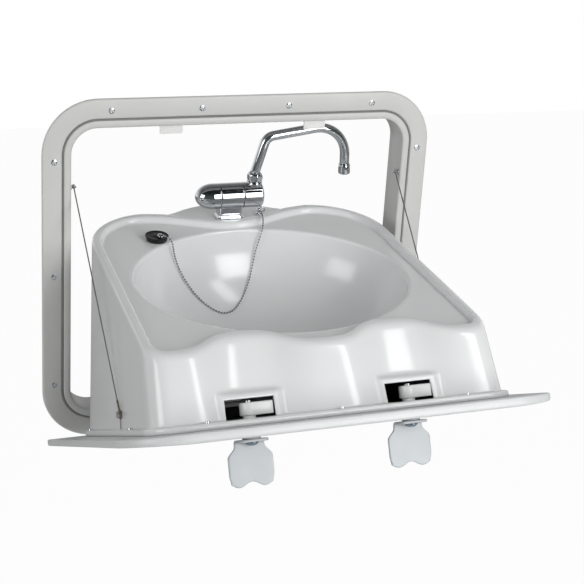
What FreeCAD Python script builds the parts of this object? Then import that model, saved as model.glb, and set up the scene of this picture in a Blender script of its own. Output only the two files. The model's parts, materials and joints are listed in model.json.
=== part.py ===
"""Folding wall sink: a frame round a wall opening, and a door that carries the basin and the tap."""
import FreeCAD, Part
import math
import os

V = FreeCAD.Vector
os.makedirs("parts", exist_ok=True)

# The part's frame: X to the right, Y into the wall, Z up, millimetres. The origin is the middle of the
# wall plane behind the frame's flange. The door hangs open, as it is used.

# General clearances
cut_over = 2.0
clear = 0.3
run_fit = 0.05
seat_fit = 0.02
far = 900.0

# Wall frame
frame_width = 500.0
frame_height = 436.0
frame_corner = 67.0
flange_width = 25.0
flange_thick = 4.0
lip_width = 10.0
reveal_depth = 40.0
reveal_wall = 3.0
groove_width = 2.0
groove_depth = 1.5
seal_stand = 1.2

# Frame screws, countersunk, in lines that run parallel to the frame's edges
screw_inset = 14.2
top_screw_end = 82.6
top_screw_count = 4
side_screw_end = 74.5
side_screw_count = 3
screw_head_radius = 3.75
screw_neck_radius = 2.3
screw_shank_radius = 2.0
screw_length = 30.0
drive_width = 0.9
drive_depth = 0.8
drive_reach_share = 0.55

# Door panel, crowned on its outer face; it covers the frame but for a narrow margin
door_side_margin = 3.0
door_overhang = 1.0
door_corner = 62.0
door_edge = 8.0
door_crown = 5.5
open_tilt = 25.92

# Hinges: the axis lies midway in the gap between the closed door and the flange
hinge_gap = 4.2
hinge_back = 7.0
hinge_height = 4.0
hinge_screw_room = 31.6
hinge_knuckles = 5
knuckle_gap = 0.4
knuckle_radius = 2.0
pin_radius = 0.9
leaf_thick = 1.2
frame_leaf_reach = 18.0
door_leaf_reach = 32.0
hinge_screw_share = 0.6
hinge_screw_head = 2.4
hinge_screw_shank = 1.4
frame_hinge_screw_length = 9.0
door_hinge_screw_length = 6.5

# Basin moulding: its base outline on the door, and how its walls lean towards the rim
basin_side_gap = 10.0
basin_rear = 42.0
basin_front_margin = 59.0
base_rear_round = 20.0
base_front_round = 25.0
front_wave = 12.0
side_lean_share = 0.0575
rear_lean_share = 0.022
front_lean_share = 0.20
wave_growth_share = 0.10
rear_round_growth_share = 0.225
loft_spare = 23.4
basin_wall = 4.0
curve_points = 24

# Rim, tray and deck; the rim plane slopes up to the rear
rim_front_height = 69.9
rim_slope = 31.6
bead_width = 11.0
tray_drop = 7.0
rear_lobe_share = 0.561
rear_wave = 28.5
deck_drop = 4.0
tongue_half = 72.0
tongue_root_back = 17.5
tongue_side_back = 8.5
tongue_over = 18.5
tongue_thick = 14.0

# Base flange of the moulding, held to the door by small screws
foot_thick = 7.2
foot_side = 6.0
foot_front = 9.0
foot_round = 33.0
foot_screw_head = 2.4
foot_screw_rise = 1.8
foot_screw_shank = 1.2
foot_screw_length = 12.2
foot_screw_corner = 55.0
foot_screw_rear = 38.0
foot_screw_front = 93.0

# Hose opening in the rear wall
hose_opening_half = 60.0
hose_opening_low = 16.0
hose_opening_drop = 20.6

# Oval bowl, measured in the rim plane
bowl_side_margin = 39.0
bowl_front_margin = 59.0
bowl_rear_margin = 61.5
drain_room = 64.43
overflow_radius = 3.5
overflow_share = 0.32
overflow_drop = 33.0

# Drain
drain_radius = 22.0
drain_rim_thick = 2.5
drain_seat_lift = 1.6
drain_boss_radius = 27.0
drain_boss_thick = 8.0
drain_tail_radius = 17.0
drain_bore = 10.5
drain_tail_length = 26.0
drain_bar = 2.4
drain_seal_thick = 2.0
drain_nut_radius = 23.0
drain_nut_height = 9.0
waste_body_radius = 19.0
waste_barb_radius = 10.0
waste_barb_length = 56.0
waste_bore = 7.5
barb_rise = 1.0
barb_length = 7.0
barb_count = 3

# Latches: a cam above the door on a spindle, a wing handle under it
latch_share = 0.4522
latch_setback = 18.0
latch_shift = -4.2
spindle_radius = 4.0
cam_low = 10.2
cam_high = 24.0
cam_hub = 10.0
cam_tongue = 25.6
cam_half_width = 9.0
cam_corner = 4.0
cam_collar_radius = 7.0
cam_screw_radius = 3.4
cam_screw_rise = 1.8
bush_radius = 6.0
bush_flange = 10.0
bush_flange_thick = 1.5
bush_top = 1.5
handle_thick = 3.0
handle_tab_half = 17.0
handle_tab_front = 10.0
blade_back = 12.0
blade_neck_half = 17.0
blade_half = 25.2
blade_neck_drop = 9.0
blade_shoulder_drop = 19.0
blade_side_drop = 44.0
blade_tip_drop = 50.5
blade_tip_half = 17.0
blade_notch_drop = 45.0
handle_screw_radius = 7.0
handle_screw_rise = 4.0
slot_left = 29.0
slot_right = 26.8
slot_high = 28.5
slot_depth = 40.0
slot_notch_left = 8.0
housing_left = 37.0
housing_left_face = 33.0
housing_right_face = 30.5
housing_right = 42.0
housing_front = 11.0
housing_high = 35.0
housing_top_half_share = 0.9
housing_top_setback = 4.0
housing_root = 22.0

# Strike plates under the top of the frame opening
strike_width = 28.0
strike_thick = 2.0
strike_drop = 10.5
strike_leg = 24.0
strike_back = 3.5
strike_screw_pitch = 14.0
strike_screw_share = 0.6
strike_screw_head = 2.6
strike_screw_shank = 1.4
strike_screw_rise = 1.4

# Stay wires: an eye on each reveal and a clamp screw on each side of the moulding
stay_drop = 72.4
stay_setback = 6.3
eye_ring = 2.2
eye_wire = 0.8
eye_base_radius = 3.2
eye_base_thick = 1.2
wire_radius = 0.8
ball_radius = 2.0
clamp_setback = 146.0
clamp_height = 24.0
clamp_ring = 5.0
clamp_hole = 2.1
clamp_thick = 2.4
clamp_head_radius = 4.0
clamp_head_rise = 2.4
sleeve_radius = 1.2
sleeve_length = 12.0
tail_radius = 0.6

# Tap: body along X on a pedestal; knob at the left, spout collar at the right
tap_reach = 66.0
tap_plate_half = 18.0
tap_plate_depth = 11.0
tap_plate_round = 5.0
tap_plate_thick = 3.0
tap_axis_height = 31.0
tap_radius = 16.5
tap_left = -16.0
tap_right = 13.8
tap_seam = 0.6
pedestal_half = 15.0
pedestal_shift = -1.0
pedestal_depth = 9.0
knob_straight = 8.0
knob_dome = 22.5
knob_core = 6.0
knob_core_length = 6.0
collar_length = 26.0
collar_round = 3.0
spout_place = 30.5
spout_boss = 9.8
nut_radius = 10.0
nut_low = 50.0
nut_high = 61.5
nut_flats = 6
spout_radius = 6.2
spout_bore = 4.8
spout_lean_height = 63.5
spout_rise_out = 41.6
spout_rise_height = 108.4
spout_top_out = 148.0
spout_top_height = 124.2
spout_tip_out = 153.8
spout_tip_height = 54.5
spout_lean_bend = 12.0
spout_rise_bend = 14.0
spout_top_bend = 40.0
outlet_radius = 7.7
outlet_length = 13.0
shank_radius = 6.0
shank_hole = 6.5
shank_length = 38.0
spigot_radius = 5.0
spigot_length = 20.0
shank_washer_radius = 8.6
shank_washer_thick = 2.0
shank_nut_height = 7.0
shank_bore = 3.5

# Chain stay, plug and chain
post_share = 0.3652
post_reach = 61.0
post_base_radius = 4.5
post_base_thick = 1.6
post_radius = 1.6
post_height = 6.0
post_ball = 2.6
post_loop = 3.4
post_loop_wire = 0.9
post_loop_out = 4.6
post_loop_rise = 0.4
plug_side_share = 0.6566
plug_rear_share = 0.8905
plug_radius = 14.5
plug_foot_radius = 12.5
plug_thick = 7.0
plug_ring_radius = 3.6
plug_ring_wire = 0.8
plug_ring_out = 6.0
plug_ring_rise = 1.2
plug_stud_radius = 1.4
plug_stud_out = 4.8
plug_stud_rise = 2.4
plug_stud_head = 2.4
plug_stud_cap = 1.0
plug_ring_turn = -56.6
chain_radius = 1.2
chain_unit = 10.0
bend_share = 0.45

# Route of the chain: over the rear bead from the stay, in shares of the unit; down the bowl's rear wall and
# up its left, in shares of the bowl's half width, half length and depth; then to the plug's ring
chain_start_shares = [
    (0.03, -0.289, 0.6), (0.0, -0.869, 0.72), (-0.1, -1.569, 0.78), (-0.3, -2.519, 0.7),
    (-0.6, -3.569, 0.44)]
chain_fall_shares = [
    (0.1958, 0.9599, 0.0125), (0.1717, 0.9416, -0.0833), (0.1476, 0.938, -0.2083),
    (0.1235, 0.9051, -0.35), (0.0813, 0.8285, -0.5167), (0.009, 0.7299, -0.6583),
    (-0.0783, 0.6387, -0.7417), (-0.1777, 0.6131, -0.7467), (-0.2711, 0.6533, -0.6833),
    (-0.3614, 0.708, -0.5792), (-0.4458, 0.7628, -0.425), (-0.506, 0.7993, -0.2583),
    (-0.5422, 0.7956, -0.1083)]
chain_end_shares = [
    (1.34, -1.139, -1.172), (1.13, -1.239, -0.382), (0.79, -0.879, 0.078), (0.34, -0.379, 0.138)]

# Directions worked out from the driving sizes
half_width = frame_width / 2
half_height = frame_height / 2
front_face = -flange_thick
rim_run = flange_width + lip_width
opening_half = half_width - rim_run
opening_top = half_height - rim_run
axis_y = front_face - hinge_gap / 2
axis_z = hinge_height - half_height
x_axis = V(1, 0, 0)
y_axis = V(0, 1, 0)
z_axis = V(0, 0, 1)
slope_cos = math.cos(math.radians(rim_slope))
slope_sin = math.sin(math.radians(rim_slope))

# Sizes worked out from the frame: the door covers it, and the basin passes through its opening
top_screw_pitch = (frame_width - 2 * top_screw_end) / (top_screw_count - 1)
side_screw_pitch = (frame_height - 2 * side_screw_end) / (side_screw_count - 1)
hinge_place = top_screw_pitch
hinge_length = top_screw_pitch - hinge_screw_room
hinge_screw_pitch = hinge_length * hinge_screw_share
door_width = frame_width - 2 * door_side_margin
door_length = frame_height + door_overhang
basin_half = opening_half - basin_side_gap
basin_front = door_length - basin_front_margin
rim_length = (basin_front - basin_rear) / slope_cos
rear_height = rim_front_height + rim_length * slope_sin
loft_height = rear_height + loft_spare
hose_opening_high = rear_height - hose_opening_drop
rear_lobe_place = basin_half * rear_lobe_share
tongue_root = rim_length - tongue_root_back
tongue_side = rim_length - tongue_side_back
tongue_end = rim_length + tongue_over
bowl_half_width = basin_half - bowl_side_margin
bowl_half_length = (rim_length - bowl_front_margin - bowl_rear_margin) / 2
bowl_place = bowl_front_margin + bowl_half_length
bowl_depth = (rim_front_height + bowl_place * slope_sin - drain_room) / slope_cos - tray_drop
overflow_place = bowl_place + bowl_half_length * overflow_share
latch_place = basin_half * latch_share
latch_reach = basin_front - latch_setback
stay_height = opening_top - stay_drop
clamp_reach = basin_front - clamp_setback
post_place = rear_lobe_place * post_share
plug_place = -bowl_half_width * plug_side_share
plug_reach = bowl_place + bowl_half_length * plug_rear_share


def box(x, y, z):
    """A block between pairs of low and high values."""
    return Part.makeBox(x[1] - x[0], y[1] - y[0], z[1] - z[0], V(x[0], y[0], z[0]))


def rod(radius, start, end):
    """A round bar between two points."""
    along = end - start
    return Part.makeCylinder(radius, along.Length, start, along)


def pipe(outer, inner, start, end):
    """A round bar with a bore that runs right through it."""
    over = (end - start).normalize() * cut_over
    return rod(outer, start, end).cut(rod(inner, start - over, end + over))


def cone(base_radius, tip_radius, start, end):
    """A round taper between two points."""
    along = end - start
    return Part.makeCone(base_radius, tip_radius, along.Length, start, along)


def prism(points, along):
    """A straight-sided block on a polygon."""
    return Part.Face(Part.makePolygon(points + points[:1])).extrude(along)


def rounded_block(half_x, half_z, corner, y):
    """A block with rounded corners in the wall plane, between two depths."""
    inner_x = half_x - corner
    inner_z = half_z - corner
    reach = corner / math.sqrt(2)
    edges = []
    turns = [(1, 1), (-1, 1), (-1, -1), (1, -1)]
    arcs = []
    for right, up in turns:
        ends = [V(right * half_x, 0, up * inner_z), V(right * inner_x, 0, up * half_z)]
        middle = V(right * (inner_x + reach), 0, up * (inner_z + reach))
        if right * up < 0:
            ends.reverse()
        arcs.append((ends[0], middle, ends[1]))
    for this, after in zip(arcs, arcs[1:] + arcs[:1]):
        edges.append(Part.Arc(*this).toShape())
        edges.append(Part.makeLine(this[2], after[0]))
    face = Part.Face(Part.Wire(edges)).translated(V(0, y[0], 0))
    return face.extrude(V(0, y[1] - y[0], 0))


def hang(shape):
    """Door frame (X, minus the reach from the rear edge, height over the inner face) to the part's frame."""
    moved = shape.translated(V(0, -hinge_back, -hinge_gap / 2))
    return moved.rotated(V(0, 0, 0), x_axis, -open_tilt).translated(V(0, axis_y, axis_z))


def on_rim(shape):
    """Rim frame (X, distance to the rear along the rim plane, height over it) to the door frame."""
    turned = shape.rotated(V(0, 0, 0), x_axis, rim_slope)
    return turned.translated(V(0, -basin_front, rim_front_height))


def on_deck(shape):
    """Tap frame, whose origin is on the deck under the tap, to the door frame."""
    return on_rim(shape.translated(V(0, (basin_front - tap_reach) / slope_cos, -deck_drop)))


def place(point, *moves):
    """A point carried through the same moves as a shape."""
    spot = Part.Vertex(point)
    for move in moves:
        spot = move(spot)
    return spot.Point


def countersunk(head, shank, length, top, along, drive=True):
    """A countersunk screw whose flat head lies at top and whose shank runs along a direction."""
    neck = top + along * (head - shank)
    body = cone(head, shank, top, neck).fuse(rod(shank, neck, top + along * length))
    if drive:
        side = along.cross(x_axis if abs(along.x) < abs(along.z) + abs(along.y) else y_axis)
        side.normalize()
        for arm in (side, along.cross(side)):
            across = along.cross(arm)
            reach = head * drive_reach_share
            start = top - arm * reach - across * (drive_width / 2) - along * cut_over
            corners = [start, start + arm * 2 * reach]
            corners.append(corners[1] + across * drive_width)
            corners.append(start + across * drive_width)
            body = body.cut(prism(corners, along * (cut_over + drive_depth)))
    return body


def countersink(head, shank, length, top, along):
    """The hole that such a screw sits in, with its seating play."""
    neck = top + along * (head - shank)
    hole = cone(head + seat_fit, shank + seat_fit, top, neck)
    hole = hole.fuse(rod(head + seat_fit, top - along * cut_over, top))
    return hole.fuse(rod(shank + seat_fit, neck, top + along * (length + seat_fit)))


def hexagon(middle, radius, height):
    """A six-sided block that stands on a point."""
    corners = []
    for step in range(nut_flats):
        turn = math.radians(360 / nut_flats * step)
        corners.append(middle + V(math.cos(turn), math.sin(turn), 0) * radius)
    return prism(corners, z_axis * height)


def joined(shapes):
    """One solid from touching shapes."""
    body = shapes[0].multiFuse(shapes[1:]) if len(shapes) > 1 else shapes[0]
    return body.removeSplitter()


def cut_all(shape, tools):
    """A shape less several others."""
    return shape.cut(Part.makeCompound(tools)) if tools else shape


nodes = {}


def keep(name, *shapes):
    """Files one node, which may be a group of separate solids."""
    nodes[name] = shapes[0] if len(shapes) == 1 else Part.makeCompound(list(shapes))


# Places of the frame screws: lines of four along the top and bottom, lines of three up the sides
screw_row_half = top_screw_pitch * (top_screw_count - 1) / 2
top_places = [top_screw_pitch * step - screw_row_half for step in range(top_screw_count)]
side_row_half = side_screw_pitch * (side_screw_count - 1) / 2
side_places = [side_screw_pitch * step - side_row_half for step in range(side_screw_count)]
frame_screw_tops = []
for side in (-1, 1):
    for along_row in top_places:
        frame_screw_tops.append(V(along_row, front_face, side * (half_height - screw_inset)))
    for along_row in side_places:
        frame_screw_tops.append(V(side * (half_width - screw_inset), front_face, along_row))

# Places on the hinges
hinge_screw_places = []
for side in (-1, 1):
    for end in (-1, 1):
        hinge_screw_places.append(side * hinge_place + end * hinge_screw_pitch / 2)
frame_leaf_face = front_face - leaf_thick
frame_hinge_screw_z = axis_z + frame_leaf_reach / 2
door_hinge_screw_reach = (door_leaf_reach - hinge_back) / 2
frame_hinge_tops = [V(x, frame_leaf_face, frame_hinge_screw_z) for x in hinge_screw_places]
door_hinge_tops = [V(x, -door_hinge_screw_reach, leaf_thick) for x in hinge_screw_places]

# Places of the strikes and stay eyes
strike_front = front_face + strike_back
strike_places = (-latch_place, latch_place)
strike_screw_y = strike_front + strike_leg * strike_screw_share
eye_y = front_face + stay_setback
eye_out = opening_half - eye_base_thick - eye_ring - eye_wire
wall_lean_at_clamp = basin_half - clamp_height * side_lean_share
clamp_face = wall_lean_at_clamp + clear
clamp_mid = clamp_face + clamp_thick / 2


def stay_ends(side):
    """Both ends of one stay: the middle of its eye and of its clamp ring."""
    upper = V(side * eye_out, eye_y, stay_height)
    lower = place(V(side * clamp_mid, -clamp_reach, clamp_height), hang)
    return upper, lower


# Wall frame
flange = rounded_block(half_width, half_height, frame_corner, (front_face, 0))
outer_corner = frame_corner - rim_run + reveal_wall
reveal = rounded_block(opening_half + reveal_wall, opening_top + reveal_wall, outer_corner,
                       (front_face, front_face + reveal_depth))
opening = rounded_block(opening_half, opening_top, frame_corner - rim_run,
                        (front_face - cut_over, front_face + reveal_depth + cut_over))
groove_out = flange_width - groove_width / 2
groove_in = flange_width + groove_width / 2
groove_ring = []
for stand, floor in ((cut_over, groove_depth), (seal_stand, groove_depth)):
    depths = (front_face - stand, front_face + floor)
    ring = rounded_block(half_width - groove_out, half_height - groove_out, frame_corner - groove_out, depths)
    core_depths = (depths[0] - cut_over, depths[1] + cut_over)
    core = rounded_block(half_width - groove_in, half_height - groove_in, frame_corner - groove_in,
                         core_depths)
    groove_ring.append(ring.cut(core))
screw_neck_length = flange_thick + clear
frame_holes = [countersink(screw_head_radius, screw_neck_radius, screw_neck_length, top, y_axis)
               for top in frame_screw_tops]
frame_holes += [rod(hinge_screw_shank + seat_fit, top, top + y_axis * (frame_hinge_screw_length + seat_fit))
                for top in frame_hinge_tops]
strike_screw_tops = []
for side_x in strike_places:
    for end in (-1, 1):
        spot = V(side_x + end * strike_screw_pitch / 2, strike_screw_y, opening_top - strike_thick)
        strike_screw_tops.append(spot)
strike_hole_length = strike_thick + reveal_wall + cut_over
frame_holes += [rod(strike_screw_shank + seat_fit, top, top + z_axis * strike_hole_length)
                for top in strike_screw_tops]
for side in (-1, 1):
    root = V(side * (opening_half - cut_over), eye_y, stay_height)
    frame_holes.append(rod(eye_wire + seat_fit, root, root + x_axis * side * (reveal_wall + 2 * cut_over)))
frame_shell = joined([flange, reveal]).cut(opening).cut(groove_ring[0])
keep("wall_frame", cut_all(frame_shell, frame_holes))
keep("frame_seal", groove_ring[1])
frame_screws = []
for top in frame_screw_tops:
    neck_end = top + y_axis * screw_neck_length
    head = countersunk(screw_head_radius, screw_neck_radius, screw_neck_length, top, y_axis)
    frame_screws.append(joined([head, rod(screw_shank_radius, neck_end, top + y_axis * screw_length)]))
keep("frame_screws", *frame_screws)

# Strike plates
for name, side_x in zip(("strike_left", "strike_right"), strike_places):
    across = (side_x - strike_width / 2, side_x + strike_width / 2)
    tab = box(across, (strike_front, strike_front + strike_thick), (opening_top - strike_drop, opening_top))
    leg = box(across, (strike_front, strike_front + strike_leg), (opening_top - strike_thick, opening_top))
    holes = [rod(strike_screw_shank + seat_fit, top - z_axis * cut_over, top + z_axis * strike_hole_length)
             for top in strike_screw_tops if abs(top.x - side_x) < strike_width]
    keep(name, cut_all(joined([tab, leg]), holes))
strike_screws = []
for top in strike_screw_tops:
    head = rod(strike_screw_head, top - z_axis * strike_screw_rise, top)
    shank = rod(strike_screw_shank, top, top + z_axis * (strike_thick + reveal_wall))
    strike_screws.append(joined([head, shank]))
keep("strike_screws", *strike_screws)

# Stay eyes on the reveals
eyes = []
for side in (-1, 1):
    upper, lower = stay_ends(side)
    ring = Part.makeTorus(eye_ring, eye_wire, upper, lower - upper)
    wall = V(side * opening_half, eye_y, stay_height)
    base = rod(eye_base_radius, wall - x_axis * side * eye_base_thick, wall)
    stem_start = upper + x_axis * side * eye_ring
    stem = rod(eye_wire, stem_start, wall + x_axis * side * reveal_wall)
    eyes.append(joined([ring, base, stem]))
keep("stay_eyes", *eyes)

# Hinges: knuckles alternate between the frame's leaf and the door's
knuckle_pitch = hinge_length / hinge_knuckles


def hinge_leaf(owner, middle):
    """One leaf in the door frame, laid flat with its knuckles round the axis; owner 0 is the frame's."""
    left = middle - hinge_length / 2
    height = hinge_gap / 2
    spots = range(hinge_knuckles)
    reach = (frame_leaf_reach, door_leaf_reach)[owner]
    leaf = box((left, left + hinge_length), (-reach, 0), (0, leaf_thick))
    own = [leaf]
    others = []
    for spot in spots:
        start = V(left + spot * knuckle_pitch + knuckle_gap / 2, 0, height)
        end = start + x_axis * (knuckle_pitch - knuckle_gap)
        if spot % 2 == owner:
            own.append(rod(knuckle_radius, start, end))
        else:
            wide = x_axis * knuckle_gap
            others.append(rod(knuckle_radius + knuckle_gap, start - wide, end + wide))
    bore = rod(pin_radius + run_fit, V(left - cut_over, 0, height),
               V(left + hinge_length + cut_over, 0, height))
    return cut_all(joined(own), others + [bore])


frame_leaves = []
door_leaves = []
pins = []
for side in (-1, 1):
    middle = side * hinge_place
    upright = hinge_leaf(0, middle).rotated(V(0, 0, 0), x_axis, -90)
    upright = upright.mirror(V(0, 0, 0), y_axis)
    frame_leaves.append(upright.translated(V(0, front_face, axis_z)))
    door_leaves.append(hinge_leaf(1, middle).translated(V(0, hinge_back, 0)))
    ends = [V(middle + end * hinge_length / 2, axis_y, axis_z) for end in (-1, 1)]
    pins.append(rod(pin_radius, *ends))
frame_leaf_holes = [countersink(hinge_screw_head, hinge_screw_shank, frame_hinge_screw_length, top, y_axis)
                    for top in frame_hinge_tops]
door_leaf_holes = [countersink(hinge_screw_head, hinge_screw_shank, door_hinge_screw_length, top, -z_axis)
                   for top in door_hinge_tops]
keep("hinge_frame_leaves", *[cut_all(leaf, frame_leaf_holes) for leaf in frame_leaves])
keep("hinge_door_leaves", *[hang(cut_all(leaf, door_leaf_holes)) for leaf in door_leaves])
keep("hinge_pins", *pins)

# Hinge screws
keep("hinge_frame_screws", *[countersunk(hinge_screw_head, hinge_screw_shank, frame_hinge_screw_length, top,
                                         y_axis, False) for top in frame_hinge_tops])
keep("hinge_door_screws", *[hang(countersunk(hinge_screw_head, hinge_screw_shank, door_hinge_screw_length,
                                             top, -z_axis, False)) for top in door_hinge_tops])

# Door panel: flat inside, crowned outside, square at the hinge and rounded in front
door_half = door_width / 2
crown_radius = (door_half ** 2 + door_crown ** 2) / (2 * door_crown)
door_thick = door_edge + door_crown


def door_under(x):
    """How far the crowned face lies under the inner face at a distance from the middle."""
    return door_thick - crown_radius + math.sqrt(crown_radius ** 2 - x ** 2)


corner_reach = door_corner / math.sqrt(2)
corner_x = door_half - door_corner
corner_y = door_corner - door_length
door_edges = [Part.makeLine(V(-door_half, 0, 0), V(door_half, 0, 0)),
              Part.makeLine(V(door_half, 0, 0), V(door_half, corner_y, 0)),
              Part.Arc(V(door_half, corner_y, 0), V(corner_x + corner_reach, corner_y - corner_reach, 0),
                       V(corner_x, -door_length, 0)).toShape(),
              Part.makeLine(V(corner_x, -door_length, 0), V(-corner_x, -door_length, 0)),
              Part.Arc(V(-corner_x, -door_length, 0), V(-corner_x - corner_reach, corner_y - corner_reach, 0),
                       V(-door_half, corner_y, 0)).toShape(),
              Part.makeLine(V(-door_half, corner_y, 0), V(-door_half, 0, 0))]
door_block = Part.Face(Part.Wire(door_edges)).extrude(V(0, 0, -door_thick))
crown_middle = crown_radius - door_thick
crown = rod(crown_radius, V(0, -door_length - cut_over, crown_middle), V(0, cut_over, crown_middle))
foot_edge_y = -basin_front - foot_front / 2
foot_front_pitch = basin_half - foot_screw_corner
foot_screw_spots = [V(step * foot_front_pitch, foot_edge_y, foot_thick) for step in (-1, 0, 1)]
for side in (-1, 1):
    for reach in (basin_rear + foot_screw_rear, basin_front - foot_screw_front):
        foot_screw_spots.append(V(side * (basin_half + foot_side / 2), -reach, foot_thick))
foot_holes = [rod(foot_screw_shank + seat_fit, spot + z_axis * cut_over,
                  spot - z_axis * (foot_screw_length + seat_fit)) for spot in foot_screw_spots]
latch_spots = [V(side * latch_place + latch_shift, -latch_reach, 0) for side in (-1, 1)]
bush_holes = [rod(bush_radius + seat_fit, spot - z_axis * (door_thick + cut_over), spot + z_axis * cut_over)
              for spot in latch_spots]
keep("door_panel", hang(cut_all(door_block.common(crown), foot_holes + bush_holes + door_leaf_holes)))


def wave_edge(ends, reach, depth, waves, steep=False):
    """A wavy edge between two X values, level at both ends; a steep one has flatter crests and troughs."""
    points = []
    for step in range(curve_points + 1):
        share = step / curve_points
        x = ends[0] + (ends[1] - ends[0]) * share
        swing = (1 - math.cos(2 * math.pi * waves * share)) / 2
        if steep:
            swing = swing * swing * (3 - 2 * swing)
        points.append(V(x, -reach - depth * swing, 0))
    along = V(ends[1] - ends[0], 0, 0).normalize()
    curve = Part.BSplineCurve()
    curve.interpolate(Points=points, InitialTangent=along, FinalTangent=along)
    return curve.toShape()


def corner_edge(start, end, middle, radius):
    """A quarter round between two points about a centre."""
    outward = ((start + end) / 2 - middle).normalize() * radius
    return Part.Arc(start, middle + outward, end).toShape()


def basin_outline(inset, level, rear_dip):
    """The moulding's outline at one level over the door, set in from its outer faces."""
    half = basin_half - side_lean_share * level - inset
    rear = basin_rear + rear_lean_share * level + inset
    front = basin_front - front_lean_share * level - inset
    wave = front_wave + wave_growth_share * level
    front_round = base_front_round - inset
    rear_round = base_rear_round + rear_round_growth_share * level - inset
    if rear_dip:
        rear_round = half - rear_lobe_place
    rear_x = half - rear_round
    front_x = half - front_round
    rear_edge = Part.makeLine(V(-rear_x, -rear, 0), V(rear_x, -rear, 0))
    if rear_dip:
        rear_edge = wave_edge((-rear_x, rear_x), rear, rear_dip, 1)
    edges = [rear_edge,
             corner_edge(V(rear_x, -rear, 0), V(half, -rear - rear_round, 0),
                         V(rear_x, -rear - rear_round, 0), rear_round),
             Part.makeLine(V(half, -rear - rear_round, 0), V(half, front_round - front, 0)),
             corner_edge(V(half, front_round - front, 0), V(front_x, -front, 0),
                         V(front_x, front_round - front, 0), front_round),
             wave_edge((front_x, -front_x), front, -wave, 2, steep=True),
             corner_edge(V(-front_x, -front, 0), V(-half, front_round - front, 0),
                         V(-front_x, front_round - front, 0), front_round),
             Part.makeLine(V(-half, front_round - front, 0), V(-half, -rear - rear_round, 0)),
             corner_edge(V(-half, -rear - rear_round, 0), V(-rear_x, -rear, 0),
                         V(-rear_x, -rear - rear_round, 0), rear_round)]
    return Part.Wire(edges).translated(V(0, 0, level))


def basin_block(inset, low, rear_dip=0):
    """The moulding's outer form as a tall block, before the rim plane cuts it."""
    wires = [basin_outline(inset, level, rear_dip) for level in (low, loft_height)]
    return Part.makeLoft(wires, True, True)


def rim_slab(low, high):
    """Everything between two heights over the rim plane."""
    return on_rim(box((-far, far), (-far, far), (low, high)))


# Basin moulding: a wavy wedge with a beaded rim, a flat tray and a foot all round
shell = basin_block(0, 0).common(rim_slab(-far, 0))
shell = shell.cut(basin_block(basin_wall, -cut_over).common(rim_slab(-far, -tray_drop - basin_wall)))
tongue_edges = [Part.Arc(V(-tongue_half, tongue_side, 0), V(0, tongue_end, 0),
                         V(tongue_half, tongue_side, 0)).toShape(),
                Part.makeLine(V(tongue_half, tongue_side, 0), V(tongue_half, tongue_root, 0)),
                Part.makeLine(V(tongue_half, tongue_root, 0), V(-tongue_half, tongue_root, 0)),
                Part.makeLine(V(-tongue_half, tongue_root, 0), V(-tongue_half, tongue_side, 0))]
tongue = on_rim(Part.Face(Part.Wire(tongue_edges)).extrude(V(0, 0, -tongue_thick)))
bowl_spot = V(0, bowl_place, -tray_drop)


def bowl_form(grow):
    """The bowl's ellipsoid, grown all round."""
    depth = bowl_depth + grow
    stretch = FreeCAD.Matrix()
    stretch.scale((bowl_half_width + grow) / depth, (bowl_half_length + grow) / depth, 1)
    return Part.makeSphere(depth).transformGeometry(stretch).translated(bowl_spot)


below_tray = box((-far, far), (-far, far), (-far, -tray_drop))
bowl_bottom = -tray_drop - bowl_depth
drain_face = bowl_bottom + drain_seat_lift
boss_low = drain_face - drain_boss_thick


def on_drain(height):
    """A point on the drain's axis in the rim frame."""
    return V(0, bowl_place, height)


boss = rod(drain_boss_radius, on_drain(boss_low), on_drain(drain_face))
bowl_outside = bowl_form(basin_wall).common(below_tray)
foot_low = foot_side - basin_rear
foot_high = -basin_front - foot_front
foot_half_length = (foot_low - foot_high) / 2
foot = rounded_block(basin_half + foot_side, foot_half_length, foot_round, (0, foot_thick))
foot = foot.rotated(V(0, 0, 0), x_axis, 90).translated(V(0, (foot_low + foot_high) / 2, 0))
foot = foot.cut(basin_block(basin_wall, -cut_over))
housings = []
slots = []
for spot in latch_spots:
    root_y = -latch_reach + housing_root
    front_y = -latch_reach - housing_front
    low_ring = [V(spot.x - housing_left, root_y, 0), V(spot.x - housing_left_face, front_y, 0),
                V(spot.x + housing_right_face, front_y, 0), V(spot.x + housing_right, root_y, 0)]
    high_ring = []
    for point in low_ring:
        in_x = spot.x + (point.x - spot.x) * housing_top_half_share
        high_ring.append(V(in_x, point.y + housing_top_setback, housing_high))
    rings = [Part.makePolygon(ring + ring[:1]) for ring in (low_ring, high_ring)]
    housings.append(Part.makeLoft(rings, True, True))
    slot_y = (front_y - foot_front - cut_over, -latch_reach + slot_depth)
    slots.append(box((spot.x - slot_left, spot.x + slot_right), slot_y, (foot_thick, slot_high)))
    notch_y = (front_y - foot_front - cut_over, -latch_reach + cam_hub + clear)
    slots.append(box((spot.x - slot_notch_left, spot.x + slot_right), notch_y, (-cut_over, foot_thick)))
rear_wall_inside = -basin_rear - loft_height * rear_lean_share - 2 * basin_wall
hose_opening = box((-hose_opening_half, hose_opening_half),
                   (rear_wall_inside, foot_low + cut_over), (hose_opening_low, hose_opening_high))
moulding = joined([shell, tongue, foot] + housings)
pocket = basin_block(bead_width, 0, rear_wave).common(rim_slab(-tray_drop, far))
deck_top = basin_rear + rear_lean_share * loft_height
deck_wave = wave_edge((-rear_lobe_place, rear_lobe_place), deck_top, rear_wave, 1)
deck_sides = Part.makePolygon([V(rear_lobe_place, -deck_top, 0), V(rear_lobe_place, far, 0),
                               V(-rear_lobe_place, far, 0), V(-rear_lobe_place, -deck_top, 0)])
deck_face = Part.Face(Part.Wire(deck_wave.Edges + deck_sides.Edges))
deck_cut = deck_face.extrude(V(0, 0, far)).common(rim_slab(-deck_drop, far))
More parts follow.
